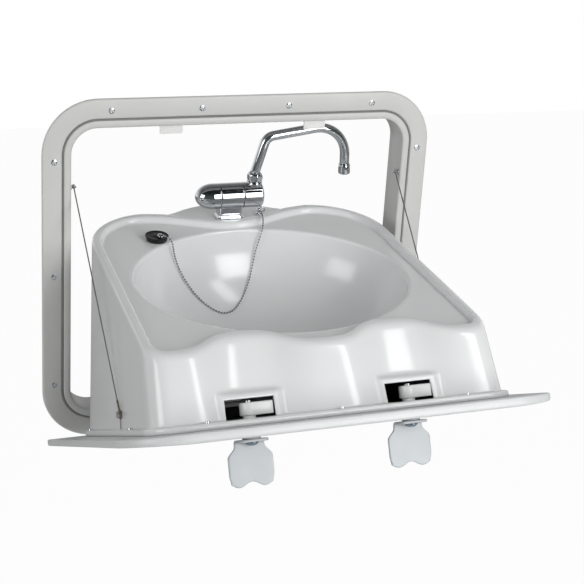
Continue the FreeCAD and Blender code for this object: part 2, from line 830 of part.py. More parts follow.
seat = rod(drain_radius + seat_fit, on_drain(drain_face), on_drain(drain_face + drain_boss_radius))
drain_hole = rod(drain_tail_radius + seat_fit, on_drain(boss_low - cut_over), on_drain(drain_face + cut_over))
shank_cut = rod(shank_hole, V(0, 0, cut_over), V(0, 0, -tongue_thick - cut_over))
overflow_z = -tray_drop - overflow_drop
overflow = rod(overflow_radius, V(0, overflow_place, overflow_z), V(far, overflow_place, overflow_z))
overflow = overflow.common(bowl_form(2 * basin_wall))
post_spot = V(post_place, (basin_front - post_reach) / slope_cos, -deck_drop)
post_hole = rod(post_radius + seat_fit, post_spot + z_axis * cut_over, post_spot - z_axis * tongue_thick)
clamp_holes = []
for side in (-1, 1):
    out = V(side * (basin_half + cut_over), -clamp_reach, clamp_height)
    clamp_holes.append(rod(clamp_hole, out, out - x_axis * side * 2 * (basin_wall + cut_over)))
for tool in [pocket, deck_cut, on_rim(bowl_outside), on_deck(shank_cut), on_rim(post_hole), hose_opening]:
    moulding = moulding.cut(tool)
for tool in slots + foot_holes + clamp_holes:
    moulding = moulding.cut(tool)
keep("basin_moulding", hang(moulding))

# The moulding's oval bowl, with a boss for the drain and an overflow hole
bowl = joined([bowl_outside, boss])
for tool in (bowl_form(0), seat, drain_hole, overflow):
    bowl = bowl.cut(tool)
keep("basin_bowl", hang(on_rim(bowl)))

# Basin screws on the foot
foot_screws = []
for spot in foot_screw_spots:
    head = rod(foot_screw_head, spot, spot + z_axis * foot_screw_rise)
    foot_screws.append(hang(joined([head, rod(foot_screw_shank, spot, spot - z_axis * foot_screw_length)])))
keep("basin_screws", *foot_screws)

# Drain: a flanged tail through the bowl, with a mouth that the plug fits and a cross under it, then a seal,
# a nut and an elbow for the hose
drain_top = drain_face + drain_rim_thick
tail_low = drain_face - drain_tail_length
drain_rim = rod(drain_radius, on_drain(drain_face), on_drain(drain_top))
drain_tail = rod(drain_tail_radius, on_drain(tail_low), on_drain(drain_face))
mouth_low = drain_top - plug_thick - clear
drain_hollow = joined([rod(drain_bore, on_drain(tail_low - cut_over), on_drain(drain_top + cut_over)),
                       cone(plug_foot_radius, plug_radius, on_drain(mouth_low), on_drain(drain_top)),
                       rod(plug_radius, on_drain(drain_top), on_drain(drain_top + cut_over))])
bars = []
for turn in (0, 90):
    bar = box((-plug_foot_radius, plug_foot_radius), (-drain_bar / 2, drain_bar / 2),
              (mouth_low - drain_bar, mouth_low))
    bars.append(bar.rotated(V(0, 0, 0), z_axis, turn).translated(V(0, bowl_place, 0)))
drain = joined([joined([drain_rim, drain_tail]).cut(drain_hollow)] + bars)
keep("drain_flange", hang(on_rim(drain)))
seal_low = boss_low - drain_seal_thick
nut_foot = seal_low - drain_nut_height
keep("drain_seal", hang(on_rim(pipe(drain_nut_radius, drain_tail_radius + seat_fit, on_drain(seal_low),
                                    on_drain(boss_low)))))
drain_nut = hexagon(on_drain(nut_foot), drain_nut_radius, drain_nut_height)
drain_nut = drain_nut.cut(rod(drain_tail_radius + seat_fit, on_drain(nut_foot - cut_over),
                              on_drain(seal_low + cut_over)))
keep("drain_nut", hang(on_rim(drain_nut)))
elbow_top = place(on_drain(nut_foot - clear), on_rim)
elbow_middle = place(on_drain(tail_low - waste_body_radius), on_rim)
tail_end = place(on_drain(tail_low), on_rim)
barb_end = elbow_middle + y_axis * waste_barb_length
elbow = [rod(waste_body_radius, elbow_middle, elbow_top), Part.makeSphere(waste_body_radius, elbow_middle),
         rod(waste_barb_radius, elbow_middle, barb_end)]
for step in range(barb_count):
    tip = barb_end - y_axis * barb_length * step
    elbow.append(cone(waste_barb_radius + barb_rise, waste_barb_radius, tip - y_axis * barb_length, tip))
elbow_hollow = [rod(waste_bore, elbow_middle, barb_end + y_axis * cut_over),
                rod(drain_bore, elbow_middle, tail_end), Part.makeSphere(drain_bore, elbow_middle),
                rod(drain_tail_radius + seat_fit, tail_end, place(on_drain(nut_foot + cut_over), on_rim))]
keep("waste_elbow", hang(cut_all(joined(elbow), elbow_hollow)))

# Latches: bush in the door, cam above, spindle through, wing handle and screw below
bushes = []
under = door_under(latch_place - abs(latch_shift) - bush_flange) + seat_fit
bush_low = -under - bush_flange_thick
tab_top = bush_low - clear
tab_low = tab_top - handle_thick
blade_points = [(-blade_neck_half, 0), (blade_neck_half, 0), (blade_neck_half, blade_neck_drop),
                (blade_half, blade_shoulder_drop), (blade_half, blade_side_drop),
                (blade_tip_half, blade_tip_drop), (0, blade_notch_drop), (-blade_tip_half, blade_tip_drop),
                (-blade_half, blade_side_drop), (-blade_half, blade_shoulder_drop),
                (-blade_neck_half, blade_neck_drop)]
for name, spot in zip(("left", "right"), latch_spots):
    sleeve = rod(bush_radius, spot - z_axis * under, spot + z_axis * bush_top)
    collar = rod(bush_flange, spot + z_axis * bush_low, spot - z_axis * under)
    bush_bore = rod(spindle_radius + run_fit, spot + z_axis * (bush_low - cut_over),
                    spot + z_axis * (bush_top + cut_over))
    bushes.append(hang(joined([sleeve, collar]).cut(bush_bore)))
    low, high = spot + z_axis * cam_low, spot + z_axis * cam_high
    web = box((spot.x, spot.x + cam_tongue), (spot.y - cam_half_width, spot.y + cam_half_width),
              (cam_low, cam_high))
    web = web.makeFillet(cam_corner, [edge for edge in web.Edges if edge.BoundBox.ZLength > cam_low / 2
                                      and edge.CenterOfMass.x > spot.x + cam_half_width])
    cam_collar = rod(cam_collar_radius, spot + z_axis * (bush_top + clear), low)
    cam = joined([rod(cam_hub, low, high), web, cam_collar])
    cam = cam.cut(rod(spindle_radius + seat_fit, spot, high + z_axis * cut_over))
    keep("latch_cam_" + name, hang(cam))
    keep("latch_cam_screw_" + name, hang(rod(cam_screw_radius, high, high + z_axis * cam_screw_rise)))
    keep("latch_spindle_" + name, hang(rod(spindle_radius, spot + z_axis * tab_low, high)))
    tab = box((spot.x - handle_tab_half, spot.x + handle_tab_half),
              (spot.y - handle_tab_front, spot.y + blade_back), (tab_low, tab_top))
    blade_y = spot.y + blade_back
    blade_ring = [V(spot.x + x, blade_y, tab_top - drop) for x, drop in blade_points]
    blade = prism(blade_ring, -y_axis * handle_thick)
    spindle_hole = rod(spindle_radius + seat_fit, spot + z_axis * (tab_low - cut_over), spot)
    handle = joined([tab, blade]).cut(spindle_hole)
    keep("latch_handle_" + name, hang(handle))
    screw_low = spot + z_axis * (tab_low - handle_screw_rise)
    keep("latch_screw_" + name, hang(rod(handle_screw_radius, screw_low, spot + z_axis * tab_low)))
keep("latch_bushes", *bushes)

# Stays: clamp rings with their sleeves on the moulding, wires, balls behind the eyes
clamps = []
clamp_screws = []
balls = []
ball_seat = math.sqrt((ball_radius + eye_wire + run_fit) ** 2 - eye_ring ** 2)
for name, side in (("left", -1), ("right", 1)):
    upper, lower = stay_ends(side)
    along = (upper - lower).normalize()
    wire_low = lower + along * (clamp_ring + sleeve_length)
    face = V(side * clamp_face, -clamp_reach, clamp_height)
    out = x_axis * side
    ring = rod(clamp_ring, face, face + out * clamp_thick)
    hole = rod(clamp_hole, face - out * cut_over, face + out * (clamp_thick + cut_over))
    middle = face + out * (clamp_thick / 2)
    tail_foot = V(side * (basin_half + tail_radius + clear), middle.y, foot_thick + clear)
    tail = rod(tail_radius, middle, tail_foot)
    sleeve = rod(sleeve_radius, lower + along * (clamp_head_radius + clear), wire_low)
    clamps.append(joined([hang(joined([ring, tail])), sleeve]).cut(hang(hole)))
    head_face = face + out * clamp_thick
    head = rod(clamp_head_radius, head_face, head_face + out * clamp_head_rise)
    shank = rod(clamp_hole - seat_fit, head_face, face - out * (basin_wall + clear))
    clamp_screws.append(hang(joined([head, shank])))
    ball_middle = upper + along * ball_seat
    wire = rod(wire_radius, wire_low, ball_middle)
    keep("stay_wire_" + name, wire)
    balls.append(Part.makeSphere(ball_radius, ball_middle).cut(wire))
keep("stay_clamps", *clamps)
keep("stay_clamp_screws", *clamp_screws)
keep("stay_balls", *balls)


# Tap on the deck: base plate, body on its pedestal, spout collar, swivel nut and what holds it below
def tap_point(x, height):
    """A point in the tap's middle plane."""
    return V(x, 0, height)


def tap_axis(x):
    """A point on the axis of the tap's body."""
    return V(x, 0, tap_axis_height)


plate = rounded_block(tap_plate_half, tap_plate_depth, tap_plate_round, (0, tap_plate_thick))
plate = plate.rotated(V(0, 0, 0), x_axis, 90)
plate = plate.cut(rod(shank_radius + seat_fit, tap_point(0, -cut_over),
                      tap_point(0, tap_plate_thick + cut_over)))
keep("tap_base_plate", hang(on_deck(plate)))
pedestal = box((pedestal_shift - pedestal_half, pedestal_shift + pedestal_half),
               (-pedestal_depth, pedestal_depth), (tap_plate_thick, tap_axis_height))
barrel = rod(tap_radius, tap_axis(tap_left), tap_axis(tap_right))
stub_left = rod(knob_core, tap_axis(tap_left - tap_seam - knob_core_length), tap_axis(tap_left))
stub_right = rod(knob_core, tap_axis(tap_right), tap_axis(tap_right + tap_seam + knob_core_length))
keep("tap_body", hang(on_deck(joined([pedestal, barrel, stub_left, stub_right]))))
knob_end = tap_left - tap_seam
dome_start = knob_end - knob_straight
dome_middle = tap_axis(dome_start)
dome_edge = dome_middle + y_axis * tap_radius
dome_tip = dome_middle - x_axis * knob_dome
knob_edge = tap_axis(knob_end) + y_axis * tap_radius
dome = Part.Arc(Part.Ellipse(dome_middle, knob_dome, tap_radius), math.pi / 2, math.pi).toShape()
knob_outline = Part.Wire([Part.makeLine(tap_axis(knob_end), knob_edge), Part.makeLine(knob_edge, dome_edge),
                          dome, Part.makeLine(dome_tip, tap_axis(knob_end))])
knob = Part.Face(knob_outline).revolve(dome_middle, x_axis, 360)
knob = knob.cut(rod(knob_core + run_fit, tap_axis(knob_end - knob_core_length - clear),
                    tap_axis(knob_end + cut_over)))
keep("tap_knob", hang(on_deck(knob)))
collar_start = tap_right + tap_seam
collar = rod(tap_radius, tap_axis(collar_start), tap_axis(collar_start + collar_length))
collar = collar.makeFillet(collar_round, [edge for edge in collar.Edges if edge.Closed
                                          and edge.CenterOfMass.x > collar_start + collar_round])
spout_boss_rod = rod(spout_boss, tap_axis(spout_place), tap_point(spout_place, nut_low))
collar = joined([collar, spout_boss_rod])
collar = collar.cut(rod(knob_core + seat_fit, tap_axis(collar_start - cut_over),
                        tap_axis(collar_start + knob_core_length + seat_fit)))
keep("tap_collar", hang(on_deck(collar)))
nut = hexagon(tap_point(spout_place, nut_low), nut_radius, nut_high - nut_low)
spout_hole = spout_radius + run_fit
nut = nut.cut(rod(spout_hole, tap_point(spout_place, nut_low - cut_over),
                  tap_point(spout_place, nut_high + cut_over)))
keep("spout_nut", hang(on_deck(nut)))


def bent_path(points, radii):
    """Straight runs joined by tangent arcs, one radius for each inner point."""
    edges = []
    here = points[0]
    for before, point, after, radius in zip(points, points[1:], points[2:], radii):
        back = (before - point).normalize()
        ahead = (after - point).normalize()
        opening_angle = back.getAngle(ahead)
        run = radius / math.tan(opening_angle / 2)
        start = point + back * run
        end = point + ahead * run
        inward = (back + ahead).normalize()
        middle = point + inward * (radius / math.sin(opening_angle / 2) - radius)
        edges.append(Part.makeLine(here, start))
        edges.append(Part.Arc(start, middle, end).toShape())
        here = end
    edges.append(Part.makeLine(here, points[-1]))
    return Part.Wire(edges)


def tube_along(path, radius):
    """A round tube that follows a path."""
    first = path.OrderedEdges[0]
    along = first.tangentAt(first.FirstParameter)
    ring = Part.Wire(Part.makeCircle(radius, first.valueAt(first.FirstParameter), along))
    sweep = Part.BRepOffsetAPI.MakePipeShell(path)
    sweep.add(ring)
    sweep.build()
    sweep.makeSolid()
    return sweep.shape()


spout_points = [tap_point(spout_place, nut_low + clear), tap_point(spout_place, spout_lean_height),
                tap_point(spout_rise_out, spout_rise_height), tap_point(spout_top_out, spout_top_height),
                tap_point(spout_tip_out, spout_tip_height)]
spout_bends = [spout_lean_bend, spout_rise_bend, spout_top_bend]
spout_path = bent_path(spout_points, spout_bends)
spout = tube_along(spout_path, spout_radius).cut(tube_along(spout_path, spout_bore))
keep("spout_tube", hang(on_deck(spout)))
tip_along = (spout_points[-1] - spout_points[-2]).normalize()
outlet_start = spout_points[-1] - tip_along * outlet_length
outlet = pipe(outlet_radius, spout_radius + seat_fit, outlet_start, spout_points[-1])
keep("spout_outlet", hang(on_deck(outlet)))
deck_under = deck_drop - tray_drop - basin_wall
spigot_top = tap_point(0, spigot_length - shank_length)
shank = joined([rod(shank_radius, spigot_top, tap_point(0, tap_plate_thick)),
                rod(spigot_radius, tap_point(0, -shank_length), spigot_top)])
shank = shank.cut(rod(shank_bore, tap_point(0, -shank_length - cut_over),
                      tap_point(0, tap_plate_thick + cut_over)))
keep("tap_shank", hang(on_deck(shank)))
washer_low = deck_under - shank_washer_thick
keep("tap_washer", hang(on_deck(pipe(shank_washer_radius, shank_radius + seat_fit, tap_point(0, washer_low),
                                     tap_point(0, deck_under)))))
shank_nut_low = washer_low - shank_nut_height
shank_nut = hexagon(tap_point(0, shank_nut_low), shank_washer_radius, shank_nut_height)
shank_nut = shank_nut.cut(rod(shank_radius + seat_fit, tap_point(0, shank_nut_low - cut_over),
                              tap_point(0, washer_low + cut_over)))
keep("tap_nut", hang(on_deck(shank_nut)))

# Chain stay on the deck, plug with its stud and ring on the tray, and the chain between them
post_top = post_spot + z_axis * post_height
loop_middle = post_top + x_axis * post_loop_out + z_axis * post_loop_rise
post = joined([rod(post_base_radius, post_spot, post_spot + z_axis * post_base_thick),
               rod(post_radius, post_spot - z_axis * (tongue_thick / 2), post_top),
               Part.makeSphere(post_ball, post_top),
               Part.makeTorus(post_loop, post_loop_wire, loop_middle, y_axis)])
keep("chain_stay", hang(on_rim(post)))
plug_foot = V(plug_place, plug_reach, seat_fit - tray_drop)
plug_top = plug_foot + z_axis * plug_thick
keep("plug", hang(on_rim(cone(plug_foot_radius, plug_radius, plug_foot, plug_top))))
ring_way = V(math.cos(math.radians(plug_ring_turn)), math.sin(math.radians(plug_ring_turn)), 0)
stud_foot = plug_top + ring_way * plug_stud_out
stud_top = stud_foot + z_axis * plug_stud_rise
stud = joined([rod(plug_stud_radius, stud_foot, stud_top),
               rod(plug_stud_head, stud_top, stud_top + z_axis * plug_stud_cap)])
keep("plug_stud", hang(on_rim(stud)))
ring_middle = plug_top + ring_way * plug_ring_out + z_axis * plug_ring_rise
keep("plug_ring", hang(on_rim(Part.makeTorus(plug_ring_radius, plug_ring_wire, ring_middle, z_axis))))
chain_route = [post_spot + V(*shares) * chain_unit for shares in chain_start_shares]
for across, back, down in chain_fall_shares:
    chain_route.append(bowl_spot + V(across * bowl_half_width, back * bowl_half_length, down * bowl_depth))
chain_route += [ring_middle + V(*shares) * chain_unit for shares in chain_end_shares]
chain_radii = []
for before, point, after in zip(chain_route, chain_route[1:], chain_route[2:]):
    runs = min((point - before).Length, (after - point).Length)
    turn = (point - before).getAngle(after - point)
    chain_radii.append(bend_share * runs / math.tan(turn / 2))
print("chain bends", [round(radius, 1) for radius in chain_radii])
chain_path = bent_path(chain_route, chain_radii)
chain = tube_along(chain_path, chain_radius)
chain_section = math.pi * chain_radius ** 2 * chain_path.Length
print("chain length", round(chain_path.Length, 1), "volume share", round(chain.Volume / chain_section, 4))
keep("plug_chain", hang(on_rim(chain)))

for node, shape in nodes.items():
    shape.exportStep("parts/" + node + ".step")
    print(node, shape.isValid(), len(shape.Solids), round(shape.Volume))
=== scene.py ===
"""Folding wall sink: moulded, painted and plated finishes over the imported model."""
import json
import math
import bmesh
import bpy
from mathutils import Matrix, Vector


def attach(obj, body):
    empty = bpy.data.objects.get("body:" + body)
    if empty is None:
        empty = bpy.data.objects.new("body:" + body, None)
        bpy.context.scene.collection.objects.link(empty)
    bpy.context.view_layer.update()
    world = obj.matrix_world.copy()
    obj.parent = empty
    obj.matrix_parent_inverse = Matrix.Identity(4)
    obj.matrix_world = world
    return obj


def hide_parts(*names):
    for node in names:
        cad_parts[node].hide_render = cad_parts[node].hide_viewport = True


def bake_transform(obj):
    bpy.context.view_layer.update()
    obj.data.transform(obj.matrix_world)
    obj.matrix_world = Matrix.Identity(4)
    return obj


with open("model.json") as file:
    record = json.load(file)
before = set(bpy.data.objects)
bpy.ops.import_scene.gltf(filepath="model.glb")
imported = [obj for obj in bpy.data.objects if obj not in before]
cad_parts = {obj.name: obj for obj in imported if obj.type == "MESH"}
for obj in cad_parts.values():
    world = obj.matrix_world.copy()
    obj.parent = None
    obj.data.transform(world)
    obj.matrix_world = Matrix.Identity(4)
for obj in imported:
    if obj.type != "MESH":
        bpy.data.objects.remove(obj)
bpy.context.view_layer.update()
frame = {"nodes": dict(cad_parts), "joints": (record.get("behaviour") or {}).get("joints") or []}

# Studio: the sink hangs on a wall, so the pale floor lies well below it. Soft lamps stand at the right
# and above, a weaker one fills in from the left, and the camera looks down from there on the open door.
scene = bpy.context.scene
camera_place = Vector((-0.56735, -1.60274, 0.60387))
camera_right = Vector((0.93426055, -0.35183922, 0.05802061))
camera_ahead = Vector((0.34897065, 0.86865329, -0.3516546))
camera_lens = 87.48
camera_far = 50.0
lamps = (("key", (1.0, -1.25, 1.35), (0.32, 0.9), 5.0),
         ("window", (0.72, -1.85, 0.42), (0.8, 1.2), 22.0),
         ("fill", (-1.6, -0.8, 0.45), (0.9, 0.9), 9.5))
lamp_target = Vector((0.0, -0.16, -0.02))
room_grey = (0.25, 0.25, 0.25, 1.0)
backdrop_white = (1.0, 1.0, 1.0, 1.0)
mirrored_tones = ((0.45, (0.09, 0.10, 0.10, 1.0)), (0.80, backdrop_white))
mirrored_fade = (("From Min", 0.10), ("From Max", 0.70), ("To Min", 1.0), ("To Max", 0.22))
floor_level = -0.86
floor_half = 4.0
floor_white = (0.82, 0.82, 0.81, 1.0)
floor_roughness = 0.8
floor_glow_share = 0.97

camera_data = bpy.data.cameras.new("photo_camera")
camera_data.lens = camera_lens
camera_data.clip_end = camera_far
camera = bpy.data.objects.new("photo_camera", camera_data)
turn = Matrix((camera_right, camera_right.cross(camera_ahead), -camera_ahead)).transposed()
camera.matrix_world = Matrix.Translation(camera_place) @ turn.to_4x4()
scene.collection.objects.link(camera)
scene.camera = camera
scene.view_settings.view_transform = "Standard"

for name, place, size, power in lamps:
    lamp_data = bpy.data.lights.new("lamp_" + name, "AREA")
    lamp_data.shape = "RECTANGLE"
    lamp_data.size, lamp_data.size_y = size
    lamp_data.energy = power
    lamp = bpy.data.objects.new("lamp_" + name, lamp_data)
    aim = (lamp_target - Vector(place)).to_track_quat("-Z", "Y")
    lamp.matrix_world = Matrix.Translation(place) @ aim.to_matrix().to_4x4()
    scene.collection.objects.link(lamp)


def preset(node, values):
    """Gives sockets that nothing is linked to their values."""
    for socket, value in values:
        node.inputs[socket].default_value = value


def add_node(tree, kind, values=(), operation=None):
    """A shader node, with the values of its free sockets."""
    node = tree.nodes.new("ShaderNode" + kind)
    if operation:
        node.operation = operation
    preset(node, values)
    return node


def tie(tree, *ties):
    """Links nodes: each tie is a node, its output, the next node and that one's input."""
    for source, output, target, entry in ties:
        tree.links.new(source.outputs[output], target.inputs[entry])


world = bpy.data.worlds.new("studio")
scene.world = world
world.use_nodes = True
sky = world.node_tree
sky.nodes.clear()
sky_out = add_node(sky, "OutputWorld")
seen_mix = add_node(sky, "MixShader")
mirrored_mix = add_node(sky, "MixShader")
room = add_node(sky, "Background", [("Color", room_grey)])
mirrored = add_node(sky, "Background")
backdrop = add_node(sky, "Background", [("Color", backdrop_white)])
sharp = add_node(sky, "Math", operation="MAXIMUM")
ray = add_node(sky, "LightPath")
where = add_node(sky, "TexCoord")
split = add_node(sky, "SeparateXYZ")
ramp = add_node(sky, "ValToRGB")
for stop, (position, tone) in zip(ramp.color_ramp.elements, mirrored_tones):
    stop.position = position
    stop.color = tone
ahead = add_node(sky, "MapRange", [("From Min", -1.0)])
aloft = add_node(sky, "MapRange", mirrored_fade)
dim = add_node(sky, "VectorMath", operation="SCALE")
tie(sky, (where, "Generated", split, "Vector"), (split, "Y", ahead, "Value"),
    (split, "Z", aloft, "Value"), (ahead, "Result", ramp, "Fac"), (ramp, "Color", dim, 0),
    (aloft, "Result", dim, "Scale"), (dim, "Vector", mirrored, "Color"),
    (ray, "Is Glossy Ray", sharp, 0), (ray, "Is Transmission Ray", sharp, 1),
    (sharp, "Value", mirrored_mix, "Fac"), (room, "Background", mirrored_mix, 1),
    (mirrored, "Background", mirrored_mix, 2), (ray, "Is Camera Ray", seen_mix, "Fac"),
    (mirrored_mix, "Shader", seen_mix, 1), (backdrop, "Background", seen_mix, 2),
    (seen_mix, "Shader", sky_out, "Surface"))


def add_mesh(name, points, faces, closed=True):
    """A smooth mesh object at the origin, in metres; a closed one has its faces turned outward."""
    mesh = bpy.data.meshes.new(name)
    mesh.from_pydata([tuple(point) for point in points], [], faces)
    mesh.validate()
    if closed:
        work = bmesh.new()
        work.from_mesh(mesh)
        bmesh.ops.recalc_face_normals(work, faces=work.faces)
        work.to_mesh(mesh)
        work.free()
    mesh.shade_smooth()
    piece = bpy.data.objects.new(name, mesh)
    scene.collection.objects.link(piece)
    return piece


def new_material(name):
    """A material, its tree of nodes and its shader."""
    material = bpy.data.materials.new(name)
    material.use_nodes = True
    return material, material.node_tree, material.node_tree.nodes["Principled BSDF"]


floor_corners = [(right * floor_half, back * floor_half, floor_level)
                 for right, back in ((-1, -1), (1, -1), (1, 1), (-1, 1))]
floor = add_mesh("floor", floor_corners, [(0, 1, 2, 3)], closed=False)
floor_material, floor_tree, floor_shader = new_material("floor_paint")
preset(floor_shader, [("Base Color", floor_white), ("Roughness", floor_roughness)])
floor_glow = add_node(floor_tree, "Emission")
floor_seen = add_node(floor_tree, "LightPath")
floor_mix = add_node(floor_tree, "MixShader")
floor_share = add_node(floor_tree, "Math", [(1, floor_glow_share)], "MULTIPLY")
tie(floor_tree, (floor_seen, "Is Camera Ray", floor_share, 0), (floor_share, "Value", floor_mix, "Fac"),
    (floor_shader, "BSDF", floor_mix, 1), (floor_glow, "Emission", floor_mix, 2),
    (floor_mix, "Shader", floor_tree.nodes["Material Output"], "Surface"))
floor.data.materials.append(floor_material)

# Wall frame: a satin off-white frame of rounded section, screwed round the cut-out. Its flange lies on
# the wall, a narrow groove parts the flange from the inner lip, and the reveal lines the cut-out.
frame_half_width = 0.250
frame_half_height = 0.218
frame_corner = 0.067
corner_steps = 16
side_steps = 10
frame_profile = (
    (0.0006, 0.0), (0.0, -0.0005), (0.0, -0.0022), (0.0004, -0.0032), (0.0014, -0.0039),
    (0.0030, -0.0041), (0.0120, -0.0041), (0.0220, -0.0040), (0.0232, -0.0037), (0.0238, -0.0030),
    (0.0240, -0.0024), (0.0260, -0.0024), (0.0261, -0.0034), (0.0266, -0.0041), (0.0276, -0.0044),
    (0.0310, -0.0044), (0.0334, -0.0042), (0.0345, -0.0036), (0.0350, -0.0025), (0.0350, 0.0100),
    (0.0350, 0.0355), (0.0346, 0.0360), (0.0324, 0.0360), (0.0320, 0.0355), (0.0320, 0.0006),
    (0.0314, 0.0), (0.0160, 0.0))
frame_grey = (0.63, 0.635, 0.62)
coat_roughness = 0.12
quarters = ((1, 1), (-1, 1), (-1, -1), (1, -1))


def quarter_turn(quarter, steps):
    """Cosines and sines along one quarter of a circle."""
    angles = [math.pi / 2 * (quarter + step / steps) for step in range(steps + 1)]
    return [(math.cos(angle), math.sin(angle)) for angle in angles]


def frame_ring(inset, depth):
    """Points round the frame at one distance in from its outer edge and one depth."""
    half_x = frame_half_width - inset
    half_z = frame_half_height - inset
    corner = frame_corner - inset
    ring = []
    for quarter, (right, up) in enumerate(quarters):
        centre = Vector((right * (half_x - corner), depth, up * (half_z - corner)))
        for across, rise in quarter_turn(quarter, corner_steps):
            ring.append(centre + Vector((across, 0, rise)) * corner)
        here = ring[-1]
        angle = math.pi / 2 * (quarter + 1)
        side = 2 * ((half_x if quarter % 2 == 0 else half_z) - corner)
        along = Vector((-math.sin(angle), 0, math.cos(angle))) * side
        ring += [here + along * (step / side_steps) for step in range(1, side_steps)]
    return ring


def shell(rows, joined=False, caps=(), strips=False):
    """Points and faces of quads over rows of equal length, which close to rings unless they are strips.
    Joined ties the last row to the first, and caps are the rows that get an end face."""
    count = len(rows[0])
    faces = []
    for row in range(len(rows) - (0 if joined else 1)):
        here = row * count
        there = (row + 1) % len(rows) * count
        for step in range(count - (1 if strips else 0)):
            ahead = (step + 1) % count
            faces.append((here + step, here + ahead, there + ahead, there + step))
    for row in caps:
        cap = [row * count + step for step in range(count)]
        faces.append(tuple(cap if row else cap[::-1]))
    return [point for row in rows for point in row], faces


def skin(name, rings, joined=False):
    """A piece over closed rings, joined end to end or closed by a face at each end."""
    return add_mesh(name, *shell(rings, joined, () if joined else (0, len(rings) - 1)))


uneven = bpy.data.node_groups.new("uneven_surface", "ShaderNodeTree")
uneven_inputs = ("Colour", "Blotch Scale", "Grain Scale", "Shade", "Roughness", "Spread")
for way, sockets in (("INPUT", uneven_inputs), ("OUTPUT", ("Colour", "Roughness", "Height"))):
    for socket in sockets:
        kind = "NodeSocketColor" if socket == "Colour" else "NodeSocketFloat"
        uneven.interface.new_socket(socket, in_out=way, socket_type=kind)
given = uneven.nodes.new("NodeGroupInput")
result = uneven.nodes.new("NodeGroupOutput")
surface = add_node(uneven, "TexCoord")
blotch = add_node(uneven, "TexNoise", [("Detail", 4.0)])
grain = add_node(uneven, "TexNoise", [("Detail", 2.0)])
darker = add_node(uneven, "Math", operation="MULTIPLY")
lighter = add_node(uneven, "Math", [(0, 1.0)], "SUBTRACT")
tint = add_node(uneven, "VectorMath", operation="SCALE")
centred = add_node(uneven, "Math", [(1, 0.5)], "SUBTRACT")
rougher = add_node(uneven, "Math", operation="MULTIPLY_ADD")
tie(uneven, (surface, "Object", blotch, "Vector"), (surface, "Object", grain, "Vector"),
    (given, "Blotch Scale", blotch, "Scale"), (given, "Grain Scale", grain, "Scale"),
    (blotch, "Fac", darker, 0), (given, "Shade", darker, 1), (darker, "Value", lighter, 1),
    (given, "Colour", tint, 0), (lighter, "Value", tint, "Scale"), (blotch, "Fac", centred, 0),
    (centred, "Value", rougher, 0), (given, "Spread", rougher, 1), (given, "Roughness", rougher, 2),
    (tint, "Vector", result, "Colour"), (rougher, "Value", result, "Roughness"),
    (grain, "Fac", result, "Height"))


def finish(name, colour, roughness, metallic=0.0, coat=0.0, shade=0.05, spread=0.06,
           blotch_scale=30.0, grain_scale=900.0, bump=0.02, bump_depth=0.0002):
    """A material with uneven tone and roughness and a fine grain over the whole surface."""
    material, tree, shader = new_material(name)
    preset(shader, [("Metallic", metallic), ("Coat Weight", coat), ("Coat Roughness", coat_roughness)])
    group = add_node(tree, "Group")
    group.node_tree = uneven
    values = ((*colour, 1.0), blotch_scale, grain_scale, shade, roughness, spread)
    preset(group, zip(uneven_inputs, values))
    relief = add_node(tree, "Bump", [("Strength", bump), ("Distance", bump_depth)])
    tie(tree, (group, "Colour", shader, "Base Color"), (group, "Roughness", shader, "Roughness"),
        (group, "Height", relief, "Height"), (relief, "Normal", shader, "Normal"))
    return material


def fit_piece(piece, material, slot, body, *nodes):
    """Finishes a piece and puts it on its body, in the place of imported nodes."""
    piece.data.materials.append(material)
    if nodes:
        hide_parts(*nodes)
    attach(piece, body)


frame_paint = finish("frame_paint", frame_grey, roughness=0.40, shade=0.10, spread=0.10,
                     blotch_scale=14.0, bump=0.10)
wall_frame = skin("wall_frame_painted", [frame_ring(*spot) for spot in frame_profile], joined=True)
fit_piece(wall_frame, frame_paint, "frame_paint", "frame", "wall_frame")

# Frame seal: a dark rubber cord pressed into the groove between the flange and the lip. Its rounded top
# fills the groove, and the shut door meets it.
seal_dark = (0.24, 0.245, 0.235)
seal_profile = ((0.0241, -0.0025), (0.0241, -0.0036), (0.0244, -0.0040), (0.0250, -0.0042),
                (0.0256, -0.0040), (0.0259, -0.0036), (0.0259, -0.0025))
seal_rubber = finish("seal_rubber", seal_dark, roughness=0.62, shade=0.2, bump=0.2)
frame_seal = skin("frame_seal_cord", [frame_ring(*spot) for spot in seal_profile], joined=True)
fit_piece(frame_seal, seal_rubber, "seal_rubber", "frame", "frame_seal")

# Frame screws: plated wood screws with a raised head and a cross recess, driven through the flange into
# the wall, four along the top and the bottom and three down each side.
screw_inset = 0.0142
screw_columns = (-0.1674, -0.0558, 0.0558, 0.1674)
screw_rows = (-0.1435, 0.0, 0.1435)
screw_head_radius = 0.00375
screw_head_rise = 0.0007
screw_head_edge = 0.0002
screw_head_middle = 0.0001
screw_shank_radius = 0.0020
screw_length = 0.030
screw_point = 0.006
screw_tip = 0.0002
flange_front = -0.0041
recess_half = 0.00055
recess_flank = 1.5
recess_reach = 0.0024
recess_depth = 0.0013
head_rings = 16
head_turns = 40
plated = (0.62, 0.66, 0.70)


def merged(name, pieces):
    """One mesh object from several pieces of geometry, each with its points and faces."""
    points = []
    faces = []
    for some_points, some_faces in pieces:
        first = len(points)
        points.extend(some_points)
        faces.extend(tuple(index + first for index in face) for face in some_faces)
    return add_mesh(name, points, faces)


def full_turn(turns):
    """Cosines and sines round a circle."""
    angles = [2 * math.pi * step / turns for step in range(turns)]
    return [(math.cos(angle), math.sin(angle)) for angle in angles]


